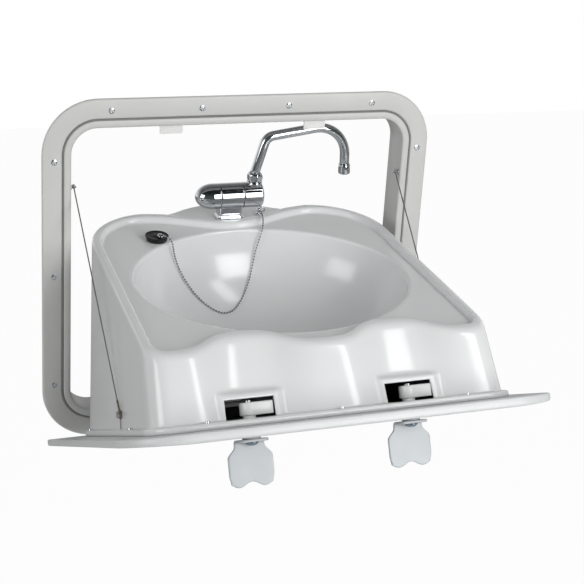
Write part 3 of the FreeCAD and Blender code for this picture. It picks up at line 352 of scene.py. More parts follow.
def turned(profile, foot, along, turns=40, relief=None):
    """Points and faces of a turned piece: heights and radii about an axis, closed at both ends."""
    along = along.normalized()
    lies_across = abs(along.x) >= 0.9
    side = Vector((0, 0, 1)) if lies_across else Vector((1, 0, 0))
    side = side.cross(along).normalized()
    front = along.cross(side)
    rings = []
    for height, radius in profile:
        ring = []
        for across, ahead in full_turn(turns):
            sink = relief(radius * across, radius * ahead) if relief else 0.0
            ring.append(foot + along * (height - sink) + (side * across + front * ahead) * radius)
        rings.append(ring)
    return shell(rings, caps=(0, len(rings) - 1))


def cross_recess(x, y):
    """How deep the screw's cross lies at a place on its head."""
    near, far_out = sorted((abs(x), abs(y)))
    across = min(1.0, max(0.0, (recess_half * recess_flank - near) / recess_half))
    along = min(1.0, max(0.0, (recess_reach - far_out) / recess_half))
    return recess_depth * across * along


screw_profile = [(-screw_length, screw_tip), (-screw_length + screw_point, screw_shank_radius),
                 (screw_shank_radius - screw_head_radius, screw_shank_radius),
                 (-screw_head_edge, screw_head_radius)]
for step in range(head_rings + 1):
    share = 1 - step / head_rings
    screw_profile.append((screw_head_rise * (1 - share ** 2),
                          max(screw_head_middle, screw_head_radius * share)))
screw_spots = []
for side in (-1, 1):
    screw_spots += [(x, side * (frame_half_height - screw_inset)) for x in screw_columns]
    screw_spots += [(side * (frame_half_width - screw_inset), z) for z in screw_rows]
screw_plate = finish("screw_plate", plated, roughness=0.22, metallic=1.0, shade=0.15,
                     grain_scale=1500.0, bump=0.06)
frame_screws = merged("frame_screws_plated", [
    turned(screw_profile, Vector((x, flange_front, z)), Vector((0, -1, 0)), head_turns, cross_recess)
    for x, z in screw_spots])
fit_piece(frame_screws, screw_plate, "steel", "frame", "frame_screws")

# Strike plates: white-painted angles under the top of the opening, which the latch cams turn behind,
# each held by two small screws.
strike_white = (0.80, 0.80, 0.79)


def dress(material, *nodes):
    """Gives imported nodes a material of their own."""
    for node in nodes:
        for slot in frame["nodes"][node].material_slots:
            slot.link = "OBJECT"
            slot.material = material


strike_paint = finish("strike_paint", strike_white, roughness=0.38, shade=0.08, bump=0.08)
dress(strike_paint, "strike_left", "strike_right")
dress(screw_plate, "strike_screws")

# Stay eyes, with the balls that hold the wires behind them, and the two butt hinges with their pins and
# screws: bright rolled steel throughout.
steel_bright = (0.55, 0.56, 0.58)
steel = finish("rolled_steel", steel_bright, roughness=0.30, metallic=1.0, shade=0.18, spread=0.15,
               blotch_scale=60.0, grain_scale=1800.0, bump=0.08)
dress(steel, "stay_eyes", "stay_balls", "hinge_frame_leaves", "hinge_pins", "hinge_door_leaves",
      "hinge_frame_screws", "hinge_door_screws")

# Door: a flat-backed panel with a crowned face and rounded front corners, the same satin off-white as
# the frame. It hangs on the hinges and carries the basin, so its place is worked out from the joints.
joints = {joint["name"]: joint for joint in frame["joints"]}
hinge_back = 0.0070
hinge_gap = 0.0042
door_half = 0.247
door_length = 0.437
door_corner = 0.062
door_rear_corner = 0.004
door_least_corner = 0.0008
door_edge = 0.008
door_crown = 0.0055
door_thick = door_edge + door_crown
crown_radius = (door_half ** 2 + door_crown ** 2) / (2 * door_crown)
door_section = ((0.16, 0.0), (0.03, 0.0), (0.0018, 0.0), (0.0006, 0.05), (0.0, 0.16), (0.0, 0.75),
                (0.0006, 0.92), (0.0020, 1.0), (0.0060, 1.0), (0.02, 1.0), (0.05, 1.0), (0.09, 1.0),
                (0.13, 1.0), (0.17, 1.0), (0.20, 1.0))
door_grey = (0.66, 0.675, 0.68)
over = -Vector(joints["latch_left_turn"]["axis"])
reach = Vector((1, 0, 0)).cross(over)
door_origin = Vector(joints["door_fold"]["pos_m"]) + reach * hinge_back - over * (hinge_gap / 2)


def on_door(x, s, n):
    """A place on the door: across, out from its rear edge, and over its inner face."""
    return door_origin + Vector((x, 0, 0)) + reach * s + over * n


def door_under(x):
    """The depth of the crowned face under the inner face."""
    return door_thick - crown_radius + math.sqrt(crown_radius ** 2 - x ** 2)


def door_outline(inset):
    """Places round the door's edge, set in from it: rear right, then round the front to rear left."""
    half = door_half - inset
    spots = []
    for quarter, (right, corner) in enumerate(((1, door_rear_corner), (1, door_corner),
                                               (-1, door_corner), (-1, door_rear_corner))):
        radius = max(corner - inset, door_least_corner)
        centre_x = right * (half - radius)
        centre_s = door_length - inset - radius if quarter in (1, 2) else inset + radius
        for across, ahead in quarter_turn(quarter - 1, corner_steps):
            spots.append((centre_x + across * radius, centre_s + ahead * radius))
    return spots


door_rings = [[on_door(x, s, -door_under(x) * drop_share) for x, s in door_outline(inset)]
              for inset, drop_share in door_section[::-1]]
door_paint = finish("door_paint", door_grey, roughness=0.34, shade=0.07, spread=0.08,
                    blotch_scale=12.0, bump=0.08)
door = skin("door_panel_painted", door_rings)
fit_piece(door, door_paint, "door_paint", "door", "door_panel")

# Basin: one glossy white moulding. A rolled bead runs round the sloping rim, inside it a shallow tray
# falls into an oval bowl, and a foot all round the bottom is screwed to the door. The tap's deck sticks
# out at the rear, and two housings in the wavy front have slots for the latch cams.
basin_half = 0.205
basin_rear = 0.042
basin_front = 0.378
basin_wall = 0.0026
side_lean = 0.0575
rear_lean = 0.022
front_lean = 0.20
front_wave = 0.012
wave_growth = 0.10
rear_round = 0.020
rear_round_growth = 0.225
front_round = 0.025
loft_level = 0.300
rim_front = 0.0699
rim_slope = math.radians(31.6)
rim_round = 0.0050
rim_front_round = 0.0085
bead_width = 0.011
bead_round = 0.0042
bead_drop = 0.011
tray_drop = 0.007
tray_round = 0.0030
rear_lobe = 0.115
rear_wave = 0.0285
deck_drop = 0.004
deck_blend = 0.008
deck_round = 0.0020
ledge_round = 0.0022
tongue_end = 0.413
tongue_radius = 0.1095
tongue_share = 0.8
tongue_blend = 0.003
tongue_thick = 0.014
shoulder_drop = 0.013
flank_drop = 0.016
skirt_drop = 0.019
under_gap = 0.0006
under_step = 0.0004
under_round = 0.0012
bowl_half_width = 0.166
bowl_half_length = 0.137
bowl_depth = 0.120
bowl_place = 0.196
bowl_lip = 0.0055
drain_radius = 0.0215
drain_hole = 0.0172
drain_lift = 0.0015
foot_out = 0.006
foot_front = 0.009
foot_thick = 0.0072
foot_strip = 0.381
foot_round = 0.033
root_round = 0.0022
strip_round = 0.0003
toe_round = 0.0050
sole_lift = 0.0003
latch_spots = (-0.0969, 0.0885)
latch_reach = 0.360
rear_edge = 0
front_edge = 4
edges = 8
rim_up = -Vector(joints["spout_swivel"]["axis"])
rim_back = rim_up.cross(Vector((1, 0, 0)))
rim_origin = on_door(0, basin_front, rim_front)


def on_rim(x, t, h):
    """A place by the rim plane: across, to the rear along it, and over it."""
    return rim_origin + Vector((x, 0, 0)) + rim_back * t + rim_up * h


def rim_place(x, s, n):
    """A place on the door, measured by the rim plane."""
    out = basin_front - s
    up = n - rim_front
    return Vector((x, out * math.cos(rim_slope) + up * math.sin(rim_slope),
                   up * math.cos(rim_slope) - out * math.sin(rim_slope)))


def rounded_place(edge, share, half, rear, front, tail, nose, dip=0.0, wave=0.0):
    """A place on a rounded outline. Its edges, sides and corners by turns, run clockwise from the rear,
    and those on the left mirror the right. The rear may dip in once, and the front twice."""
    if edge > front_edge:
        x, s = rounded_place(edges - edge, 1 - share, half, rear, front, tail, nose)
        return -x, s
    angle = math.pi / 2 * share
    if edge == rear_edge:
        swing = (1 - math.cos(2 * math.pi * share)) / 2
        return (half - tail) * (2 * share - 1), rear + dip * swing
    if edge == 1:
        return half - tail + tail * math.sin(angle), rear + tail - tail * math.cos(angle)
    if edge == 2:
        return half, rear + tail + (front - nose - rear - tail) * share
    if edge == 3:
        return half - nose + nose * math.cos(angle), front - nose + nose * math.sin(angle)
    swing = (1 - math.cos(4 * math.pi * share)) / 2
    return (half - nose) * (1 - 2 * share), front - wave * swing * swing * (3 - 2 * swing)


def outline_place(edge, share, level, inset=0.0, dip=0.0):
    """A place on the moulding's outline at one level over the door."""
    half = basin_half - side_lean * level - inset
    rear = basin_rear + rear_lean * level + inset
    front = basin_front - front_lean * level - inset
    tail = half - rear_lobe if dip else rear_round + rear_round_growth * level - inset
    return rounded_place(edge, share, half, rear, front, tail, front_round - inset, dip,
                         front_wave + wave_growth * level)


def foot_place(edge, share):
    """A place on the edge of the foot, opposite the same place on the wall."""
    return rounded_place(edge, share, basin_half + foot_out, basin_rear - foot_out,
                         basin_front + foot_front, foot_round, foot_round)


def wall_at(edge, share, h, inset=0.0, dip=0.0):
    """The moulding's wall, or the tray's, at one height over the rim plane, measured by that plane."""
    low, high = [rim_place(*outline_place(edge, share, level, inset, dip), level)
                 for level in (0.0, loft_level)]
    return low.lerp(high, (h - low.z) / (high.z - low.z))


def ease(low, high, value):
    """A smooth step from nought to one."""
    share = min(1.0, max(0.0, (value - low) / (high - low)))
    return share * share * (3 - 2 * share)


soft_steps = 4
soft_most = 0.47


def softened(corners, cuts):
    """A line through corners, with each inner corner rounded off over its own length."""
    line = [corners[0]]
    for before, corner, after, cut in zip(corners, corners[1:], corners[2:], cuts):
        back = before - corner
        ahead = after - corner
        start = corner + back.normalized() * min(cut, back.length * soft_most)
        end = corner + ahead.normalized() * min(cut, ahead.length * soft_most)
        for step in range(soft_steps + 1):
            share = step / soft_steps
            bend = corner * (2 * share * (1 - share))
            line.append(start * (1 - share) ** 2 + bend + end * share ** 2)
    line.append(corners[-1])
    return line


# The housings, by their distance from a latch, and the openings that are cut in the moulding.
housing_front = 0.011
housing_lean = 0.007
housing_high = 0.035
housing_brow = (0.003, 0.0035)
housing_left = 0.039
housing_left_face = 0.0315
housing_right_face = 0.0300
housing_right = 0.044
housing_middle = 0.0025
housing_span = 0.044
slot_left = 0.029
slot_right = 0.0268
slot_high = 0.0285
slot_notch = 0.008
hose_half = 0.060
hose_low = 0.017
line_slack = 0.0001


def housed(x, s, n):
    """The front wall's reach with the latch housings pushed out of it."""
    for spot in latch_spots:
        off = x - spot
        left = ease(-housing_left, -housing_left_face, off)
        right = 1 - ease(housing_right_face, housing_right, off)
        top = 1 - ease(housing_high - housing_brow[0], housing_high + housing_brow[1], n)
        face = latch_reach + housing_front - housing_lean * n / housing_high
        s += max(0.0, face - s) * left * right * top
    return s


front_grid = 0.0055
housing_lines = (-0.0410, -0.0390, -0.0375, -0.0360, -0.0345, -0.0330, -0.0315, -0.0302, -slot_left,
                 -0.0225, -0.0155, -slot_notch, -0.002, 0.004, 0.010, 0.016, 0.022, slot_right, 0.0284,
                 0.0300, 0.0318, 0.0336, 0.0355, 0.0375, 0.0395, 0.0415, 0.0435, 0.0455)
front_half = basin_half - front_round
front_lines = []
for step in range(int(2 * front_half / front_grid) + 1):
    x = front_half - step * front_grid
    if all(abs(x - spot - housing_middle) > housing_span for spot in latch_spots):
        front_lines.append(x)
for spot in latch_spots:
    front_lines += [spot + off for off in housing_lines]
front_lines = sorted(set(front_lines), reverse=True)
edge_columns = (56, 14, 26, 9)
columns = []
for edge, count in enumerate(edge_columns):
    columns += [(edge, step / count) for step in range(count)]
columns += [(front_edge, (1 - x / front_half) / 2) for x in front_lines]
for edge in range(front_edge + 1, edges):
    count = edge_columns[edges - edge]
    first = 1 if edge == front_edge + 1 else 0
    columns += [(edge, step / count) for step in range(first, count)]
wall_levels = (0.044, 0.0415, 0.039, 0.037, 0.0358, 0.0347, 0.0335, 0.032, 0.030, slot_high, 0.025,
               0.021, hose_low, 0.0135, 0.0105)
bowl_rows = 26
upper_rows = 7


def basin_line(edge, share):
    """One line of the moulding, from the drain up the bowl, over the rim and down to the foot."""
    rim = wall_at(edge, share, 0.0)
    bead_in = wall_at(edge, share, 0.0, bead_width, rear_wave)
    bead_low = wall_at(edge, share, -tray_drop, bead_width, rear_wave)
    around = math.atan2((bead_low.y - bowl_place) / bowl_half_length, bead_low.x / bowl_half_width)
    across = Vector((bowl_half_width * math.cos(around), bowl_half_length * math.sin(around), 0.0))
    bowl_middle = Vector((0.0, bowl_place, -tray_drop))
    line = [bowl_middle + across.normalized() * drain_hole - Vector((0, 0, bowl_depth - drain_lift))]
    steep = math.acos(drain_radius / across.length)
    lip = math.asin(bowl_lip / bowl_depth)
    for row in range(bowl_rows + 1):
        angle = steep + (lip - steep) * row / bowl_rows
        depth = Vector((0, 0, bowl_depth * math.sin(angle)))
        line.append(bowl_middle + across * math.cos(angle) - depth)
    deck = 0.0
    bead_out = rim
    tongue = rim.y
    if edge == rear_edge:
        deck = rear_wave * (1 - math.cos(2 * math.pi * share)) / 2 / math.cos(rim_slope)
        bead_out = Vector((rear_lobe * (2 * share - 1), rim.y - deck, 0.0))
        if abs(rim.x) < tongue_radius * tongue_share:
            arc = tongue_end - tongue_radius + math.sqrt(tongue_radius ** 2 - rim.x ** 2)
            tongue += math.log(1 + math.exp((arc - rim.y) / tongue_blend)) * tongue_blend
    wide = ease(0.0, deck_blend, deck)
    ledge = wall_at(edge, share, -bead_drop - (deck_drop - bead_drop) * wide)
    ledge = ledge.lerp(bead_out - Vector((0, 0, deck_drop)), wide)
    deck_out = wall_at(edge, share, -shoulder_drop).lerp(Vector((rim.x, tongue, -deck_drop)), wide)
    deck_low = wall_at(edge, share, -flank_drop).lerp(Vector((rim.x, tongue, -tongue_thick)), wide)
    under = wall_at(edge, share, -skirt_drop + (skirt_drop - tongue_thick - under_gap) * wide)
    if edge == rear_edge:
        under.y = min(under.y, deck_low.y - under_step)
    bottom = rim_place(*outline_place(edge, share, wall_levels[0]), wall_levels[0])
    wall_top = [under.lerp(bottom, row / upper_rows) for row in range(1, upper_rows)]
    corners = [line[-1], bowl_middle + across, bead_low, bead_in, bead_out, ledge, deck_out, deck_low,
               under, wall_top[0]]
    rim_cut = rim_front_round if abs(edge - front_edge) <= 1 else rim_round
    line += softened(corners, (bowl_lip, tray_round, bead_round, rim_cut, ledge_round, deck_round,
                               deck_round, under_round))[1:]
    line += wall_top[1:]
    for level in (*wall_levels, foot_thick):
        x, s = outline_place(edge, share, level)
        s = housed(x, s, level) if edge == front_edge else s
        line.append(rim_place(x, s, level))
    root = line.pop()
    x, toe_s = foot_place(edge, share)
    toe = rim_place(x, toe_s, foot_thick)
    sole = rim_place(x, toe_s, sole_lift)
    strip = root.lerp(toe, (foot_strip - s) / (toe_s - s) if edge == front_edge else 0.5)
    line += softened([line[-1], root, strip, toe, sole], (root_round, strip_round, toe_round))[1:]
    return line


basin_lines = [basin_line(edge, share) for edge, share in columns]
basin_rings = [[on_rim(*place) for place in row] for row in zip(*basin_lines)]
foot_points = 3 * (soft_steps + 1) + 1
first_wall_row = len(basin_rings) - foot_points - len(wall_levels)
level_row = {level: first_wall_row + step for step, level in enumerate(wall_levels)}
foot_row = first_wall_row + len(wall_levels) + soft_steps
strip_row = foot_row + soft_steps + 1
hose_row = first_wall_row - upper_rows + 2


def cut_away(row, edge, share):
    """Whether a face lies in a latch slot, in the notch before it, or in the hole for the hoses."""
    if edge == rear_edge:
        x = (basin_half - rear_round) * (2 * share - 1)
        return abs(x) < hose_half and hose_row <= row < level_row[hose_low]
    x = front_half * (1 - 2 * share)
    off = min((x - spot for spot in latch_spots), key=abs) - line_slack
    slotted = -slot_left < off <= slot_right and level_row[slot_high] <= row < foot_row
    notched = -slot_notch < off <= slot_right and foot_row <= row < strip_row
    return edge == front_edge and (slotted or notched)


basin_points, basin_faces = shell(basin_rings)
basin_faces = [face for face in basin_faces
               if not cut_away(face[0] // len(columns), *columns[face[0] % len(columns)])]
basin = add_mesh("basin_moulded", basin_points, basin_faces, closed=False)
thicken = basin.modifiers.new("wall", "SOLIDIFY")
thicken.thickness = basin_wall
thicken.offset = -1.0
thicken.material_offset = 1
basin_white = (0.80, 0.81, 0.815)
# The inside faces of the wall get a near-black painted shade, standing in for the shade inside the
# hollow shell; the moulding is white plastic inside as well.
inside_shade_grey = (0.07, 0.07, 0.072)
white_plastic = finish("white_moulding", basin_white, roughness=0.19, coat=0.35, shade=0.035,
                       spread=0.05, blotch_scale=9.0, grain_scale=260.0, bump=0.035,
                       bump_depth=0.0004)
inside_shade_paint = finish("inside_painted_shade", inside_shade_grey, roughness=0.6, shade=0.15, bump=0.2)
fit_piece(basin, white_plastic, "white_plastic", "door", "basin_moulding", "basin_bowl")
# The second material, on the wall's inside faces, is that painted shade.
basin.data.materials.append(inside_shade_paint)

# Fittings left as packed: small steel screws on the foot, the chromed drain with its rubber seal,
# plastic nut and hose elbow, and the plastic bushes that the latch spindles turn in.
chrome_tone = (0.62, 0.64, 0.66)
grey_tone = (0.42, 0.43, 0.44)
chrome = finish("chrome_plate", chrome_tone, roughness=0.05, metallic=1.0, shade=0.05, spread=0.05,
                blotch_scale=45.0, grain_scale=700.0, bump=0.01)
grey_plastic = finish("grey_plastic", grey_tone, roughness=0.45, shade=0.12, bump=0.15)
dress(screw_plate, "basin_screws")
dress(chrome, "drain_flange")
dress(grey_plastic, "drain_nut", "waste_elbow", "latch_bushes")
dress(seal_rubber, "drain_seal")

# Latches: a pale cam turns in each slot on a steel spindle through the door. A pressed wing handle
# hangs under the door on the same spindle, bent down at its rear and held by a domed screw.
cam_low = 0.0102
cam_high = 0.0240
cam_section = ((0.0035, cam_low), (0.0008, cam_low), (0.0, cam_low + 0.0008), (0.0, cam_high - 0.0016),
               (0.0005, cam_high - 0.0005), (0.0016, cam_high), (0.0060, cam_high))
cam_hub = 0.010
cam_tongue = 0.0256
cam_half = 0.009
cam_corner = 0.004
cam_corner_share = 0.6
cam_corner_steps = 6
cam_hub_steps = 18
cam_collar = 0.0070
cam_collar_low = 0.0018
cam_collar_sunk = 0.001
handle_low = -0.01775
handle_thick = 0.0030
handle_front = 0.010
handle_half = 0.017
handle_bend = 0.004
handle_round = 0.0009
handle_round_steps = 3
handle_round_angle = math.radians(50)
handle_columns = 10
tab_taper = 0.25
tab_taper_end = 0.25
tab_rows = 7
bend_rows = 5
blade_rows = 22
blade_back = 0.0105
blade_half = 0.0252
blade_flare = (0.007, 0.019)
blade_notch = 0.045
blade_lobe = 0.0055
lobe_spread = 1.24
blade_crease = 0.035
crease_share = 0.10
tip_taper = 0.07
tip_start = 0.75
dome_profile = ((0.0, 0.0070), (0.0010, 0.0070), (0.0024, 0.0062), (0.0034, 0.0044), (0.0039, 0.0024),
                (0.0040, 0.0003))
cam_white = (0.78, 0.79, 0.79)
handle_blue = (0.50, 0.53, 0.555)
# The domed screws' dark blue is a painted reflection on plated metal, not a blued finish.
reflection_blue = (0.30, 0.36, 0.42)


def cam_ring(spot, inset, n):
    """Points round a cam at one height, set in from its sides."""
    corner = cam_corner - inset * cam_corner_share
    ring = []
    for side in (-1, 1):
        for along, aside in quarter_turn(min(side, 0), cam_corner_steps):
            ring.append((cam_tongue - cam_corner + along * corner,
                         side * (cam_half - cam_corner) + aside * corner))
    lean = math.asin(cam_half / cam_hub)
    for step in range(cam_hub_steps + 1):
        angle = lean + (2 * math.pi - 2 * lean) * step / cam_hub_steps
        ring.append((math.cos(angle) * (cam_hub - inset), math.sin(angle) * (cam_hub - inset)))
    return [on_door(spot + x, latch_reach + y, n) for x, y in ring]


def latch_cam(spot):
    """Points and faces of one cam, and of the collar under it."""
    rings = [cam_ring(spot, *level) for level in cam_section]
    collar_profile = ((cam_collar_low, cam_collar), (cam_low + cam_collar_sunk, cam_collar))
    collar = turned(collar_profile, on_door(spot, latch_reach, 0), over)
    return shell(rings, caps=(0, len(rings) - 1)), collar


def handle_half_at(drop, end):
    """Half the width of the blade at a distance below its tab; end runs to one at the tip."""
    wide = handle_half + (blade_half - handle_half) * ease(*blade_flare, drop)
    return wide * (1 - tip_taper * ease(tip_start, 1.0, end))


def wing_handle(name, spot):
    """One pressed handle: a tab under the door and a blade with two lobes."""
    top = handle_low + handle_thick
    middle = handle_low + handle_thick / 2
    across = [step / handle_columns - 1 for step in range(2 * handle_columns + 1)]
    rows = []
    for step in range(tab_rows + 1):
        share = step / tab_rows
        out = handle_front - (handle_front + blade_back - handle_bend) * share
        half = handle_half * (1 - tab_taper * (1 - ease(0.0, tab_taper_end, share)))
        rows.append([on_door(spot + u * half, latch_reach + out, middle) for u in across])
    for level, back in quarter_turn(0, bend_rows)[1:]:
        out = -blade_back + handle_bend - handle_bend * back
        down = middle - handle_bend + handle_bend * level
        rows.append([on_door(spot + u * handle_half, latch_reach + out, down) for u in across])
    start = top - middle + handle_bend
    for step in range(1, blade_rows + 1):
        end = step / blade_rows
        row = []
        for u in across:
            lobe = 0.5 - 0.5 * math.cos(2 * math.pi * abs(u) / lobe_spread)
            drop = start + (blade_notch + blade_lobe * lobe - start) * end
            out = -blade_back - crease_share * max(0.0, drop - blade_crease)
            half = handle_half_at(drop, end)
            row.append(on_door(spot + u * half, latch_reach + out, top - drop))
        rows.append(row)
    handle = add_mesh(name, *shell(rows, strips=True), closed=False)
    sheet = handle.modifiers.new("sheet", "SOLIDIFY")
    sheet.thickness = handle_thick
    sheet.offset = 0.0
    edge = handle.modifiers.new("edge", "BEVEL")
    edge.width = handle_round
    edge.segments = handle_round_steps
    edge.angle_limit = handle_round_angle
    return handle


cam_plastic = finish("cam_plastic", cam_white, roughness=0.30, shade=0.10, bump=0.06)
handle_plastic = finish("handle_plastic", handle_blue, roughness=0.34, shade=0.10, spread=0.10,
                        blotch_scale=40.0, bump=0.10)
# Painted reflection: the domed screws are plated metal given the dark blue that a chrome screw
# reflects.
screw_reflection_paint = finish("screw_painted_reflection", reflection_blue, roughness=0.25, metallic=1.0, shade=0.2,
               grain_scale=1500.0, bump=0.06)
for name, spot in zip(("left", "right"), latch_spots):
    body = "latch_" + name
    cam = merged("latch_cam_" + name + "_moulded", latch_cam(spot))
    fit_piece(cam, cam_plastic, "cam_plastic", body, "latch_cam_" + name)
    handle = wing_handle("latch_handle_" + name + "_pressed", spot)
    fit_piece(handle, handle_plastic, "handle_plastic", body, "latch_handle_" + name)
    dome = merged("latch_screw_" + name + "_domed",
                  [turned(dome_profile, on_door(spot, latch_reach, handle_low), -over)])
    fit_piece(dome, screw_reflection_paint, "steel", body, "latch_screw_" + name)
    dress(steel, "latch_cam_screw_" + name, "latch_spindle_" + name)

# Stays: thin stranded steel cables from the eyes on the reveals down to clamp rings screwed to the
# moulding's sides. They hold the open door.
eye_out = 0.2108
eye_depth = 0.0023
eye_height = 0.1106
ball_seat = 0.0018
clamp_out = 0.20512
clamp_reach = 0.232
clamp_height = 0.024
cable_start = 0.017
cable_radius = 0.00072
cable_rows = 260
cable_turns = 18
strands = 6
strand_rise = 0.00008
strand_pitch = 0.012
wire_grey = (0.36, 0.345, 0.32)
clamp_bronze = (0.30, 0.27, 0.22)
cable_steel = finish("cable_steel", wire_grey, roughness=0.38, metallic=0.9, shade=0.2,
                     grain_scale=2500.0, bump=0.1)
for name, side in (("left", -1), ("right", 1)):
    upper = Vector((side * eye_out, eye_depth, eye_height))
    lower = on_door(side * clamp_out, clamp_reach, clamp_height)
    along = (lower - upper).normalized()
    upper = upper - along * ball_seat
    lower = lower - along * cable_start
    inward = along.cross(Vector((1, 0, 0))).normalized()
    outward = along.cross(inward)
    rings = []
    for row in range(cable_rows + 1):
        middle = upper.lerp(lower, row / cable_rows)
        lay = 2 * math.pi * (middle - upper).length / strand_pitch
        ring = []
        for step in range(cable_turns):
            angle = 2 * math.pi * step / cable_turns
            radius = cable_radius + strand_rise * math.cos(strands * (angle - lay))
            ring.append(middle + (inward * math.cos(angle) + outward * math.sin(angle)) * radius)
        rings.append(ring)
    cable = skin("stay_cable_" + name, rings)
    cable.data.materials.append(cable_steel)
    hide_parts("stay_wire_" + name)
    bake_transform(cable)
clamp_plate = finish("clamp_plate", clamp_bronze, roughness=0.28, metallic=1.0, shade=0.3,
                     grain_scale=1600.0, bump=0.1)
dress(clamp_plate, "stay_clamps")
dress(steel, "stay_clamp_screws")

# Tap body: a chromed brass barrel lies across the deck on a short pedestal with a base plate. A turned
# brass shank under it goes through the deck and is held by a rubber washer and a brass nut.
spout_place = 0.0305
tap_origin = Vector(joints["spout_swivel"]["pos_m"]) - Vector((spout_place, 0, 0))
tap_axis = 0.031
tap_radius = 0.0165
tap_turns = 72
plate_half = (0.018, 0.011)
plate_round = 0.005
plate_round_share = 0.9
plate_thick = 0.003
plate_steps = 8
plate_rows = ((0.0, 0.0), (0.0, plate_thick - 0.0009), (0.0003, plate_thick - 0.0003),
              (0.0010, plate_thick), (0.0050, plate_thick))
pedestal_half = (0.015, 0.009)
pedestal_round = 0.0032
pedestal_shift = -0.001
pedestal_rows = ((0.0014, plate_thick), (0.0012, plate_thick + 0.0006), (0.0004, plate_thick + 0.0020),
                 (0.0, plate_thick + 0.0045), (0.0, plate_thick + 0.0052), (0.0, tap_axis - 0.0047),
                 (0.0, tap_axis - 0.004))
barrel_ends = (-0.016, 0.0138)
stub_length = 0.0066
stub_radius = 0.0058
stub_turns = 24
rounded_end = [(0.0, tap_radius - 0.0012), (0.0, tap_radius - 0.0006), (0.0003, tap_radius - 0.0002),
               (0.0007, tap_radius), (0.0013, tap_radius)]
brass_tone = (0.62, 0.46, 0.20)
rightward = Vector((1, 0, 0))


def on_tap(x, t, h):
    """A place by the tap: across, to the rear along the deck, and over it."""
    return tap_origin + Vector((x, 0, 0)) + rim_back * t + rim_up * h


def rounded_ring(half, corner, h, shift=0.0):
    """Points round a rounded rectangle on the deck."""
    ring = []
    for quarter, (right, back) in enumerate(quarters):
        for across, ahead in quarter_turn(quarter, plate_steps):
            ring.append(on_tap(shift + right * (half[0] - corner) + across * corner,
                               back * (half[1] - corner) + ahead * corner, h))
    return ring


plate = skin("tap_base_plate_chromed", [
    rounded_ring([half - inset for half in plate_half], plate_round - inset * plate_round_share, h)
    for inset, h in plate_rows])
fit_piece(plate, chrome, "chrome", "door", "tap_base_plate")
pedestal = skin("tap_pedestal", [
    rounded_ring([half + grow for half in pedestal_half], pedestal_round, h, pedestal_shift)
    for grow, h in pedestal_rows])
fit_piece(pedestal, chrome, "chrome", "door")
barrel_start = on_tap(barrel_ends[0], 0, tap_axis)
barrel_length = barrel_ends[1] - barrel_ends[0]
far_end = [(barrel_length - height, radius) for height, radius in rounded_end[::-1]]
stub_profile = ((-stub_length, stub_radius), (barrel_length + stub_length, stub_radius))
barrel = merged("tap_body_chromed", [turned(rounded_end + far_end, barrel_start, rightward, tap_turns),
                                     turned(stub_profile, barrel_start, rightward, stub_turns)])
fit_piece(barrel, chrome, "chrome", "door", "tap_body")
brass = finish("turned_brass", brass_tone, roughness=0.30, metallic=1.0, shade=0.15, bump=0.06)
dress(brass, "tap_shank", "tap_nut")
dress(seal_rubber, "tap_washer")

# Tap knob: a bullet-shaped chromed knob that turns on the left end of the barrel, with a short straight
# skirt and a long dome.
knob_end = -0.0166
knob_straight = 0.008
knob_dome = 0.0225
knob_steps = 24
knob_tip = 0.0002
knob_profile = list(rounded_end)
for inward, out in quarter_turn(0, knob_steps):
    knob_profile.append((knob_straight + knob_dome * out, max(knob_tip, tap_radius * inward)))
knob = merged("tap_knob_chromed", [turned(knob_profile, on_tap(knob_end, 0, tap_axis), -rightward,
                                          tap_turns)])
fit_piece(knob, chrome, "chrome", "tap_knob", "tap_knob")

# Spout collar and nut: the chromed collar closes the barrel's right end and has a boss on top, and on
# the boss sits the six-sided nut that the spout turns in.
collar_start = 0.0144
collar_length = 0.026
collar_round = 0.003
collar_round_steps = 8
collar_straight = 0.0008
collar_middle = 0.004
boss_radius = 0.0098
boss_turns = 48
nut_low = 0.050
nut_high = 0.0615
nut_radius = 0.010
nut_turns = 72
nut_section = ((0.0, 0.0080), (0.0, 0.0088), (0.06, 0.0094), (0.15, 0.0098), (0.25, 0.0100),
               (0.55, 0.0100), (0.70, 0.0097), (0.83, 0.0090), (0.92, 0.0081), (0.98, 0.0072),
               (1.0, 0.0066))
collar_profile = rounded_end + [(collar_length - collar_round - collar_straight, tap_radius)]
for inward, out in quarter_turn(0, collar_round_steps):
    collar_profile.append((collar_length - collar_round + collar_round * out,
                           tap_radius - collar_round + collar_round * inward))
collar_profile.append((collar_length, collar_middle))
boss_profile = [(height, boss_radius) for height in (0.0, 0.0150, 0.0160, nut_low - tap_axis)]
collar = merged("tap_collar_chromed", [
    turned(collar_profile, on_tap(collar_start, 0, tap_axis), rightward, tap_turns),
    turned(boss_profile, on_tap(spout_place, 0, tap_axis), rim_up, boss_turns)])
fit_piece(collar, chrome, "chrome", "door", "tap_collar")
nut_rings = []
for share, round_radius in nut_section:
    ring = []
    for step in range(nut_turns):
        angle = 2 * math.pi * step / nut_turns
        from_flat = (angle + math.pi / 6) % (math.pi / 3) - math.pi / 6
        radius = min(round_radius, nut_radius * math.cos(math.pi / 6) / math.cos(from_flat))
        ring.append(on_tap(spout_place + math.cos(angle) * radius, math.sin(angle) * radius,
                           nut_low + (nut_high - nut_low) * share))
    nut_rings.append(ring)
nut = skin("spout_nut_chromed", nut_rings)
fit_piece(nut, chrome, "chrome", "door", "spout_nut")

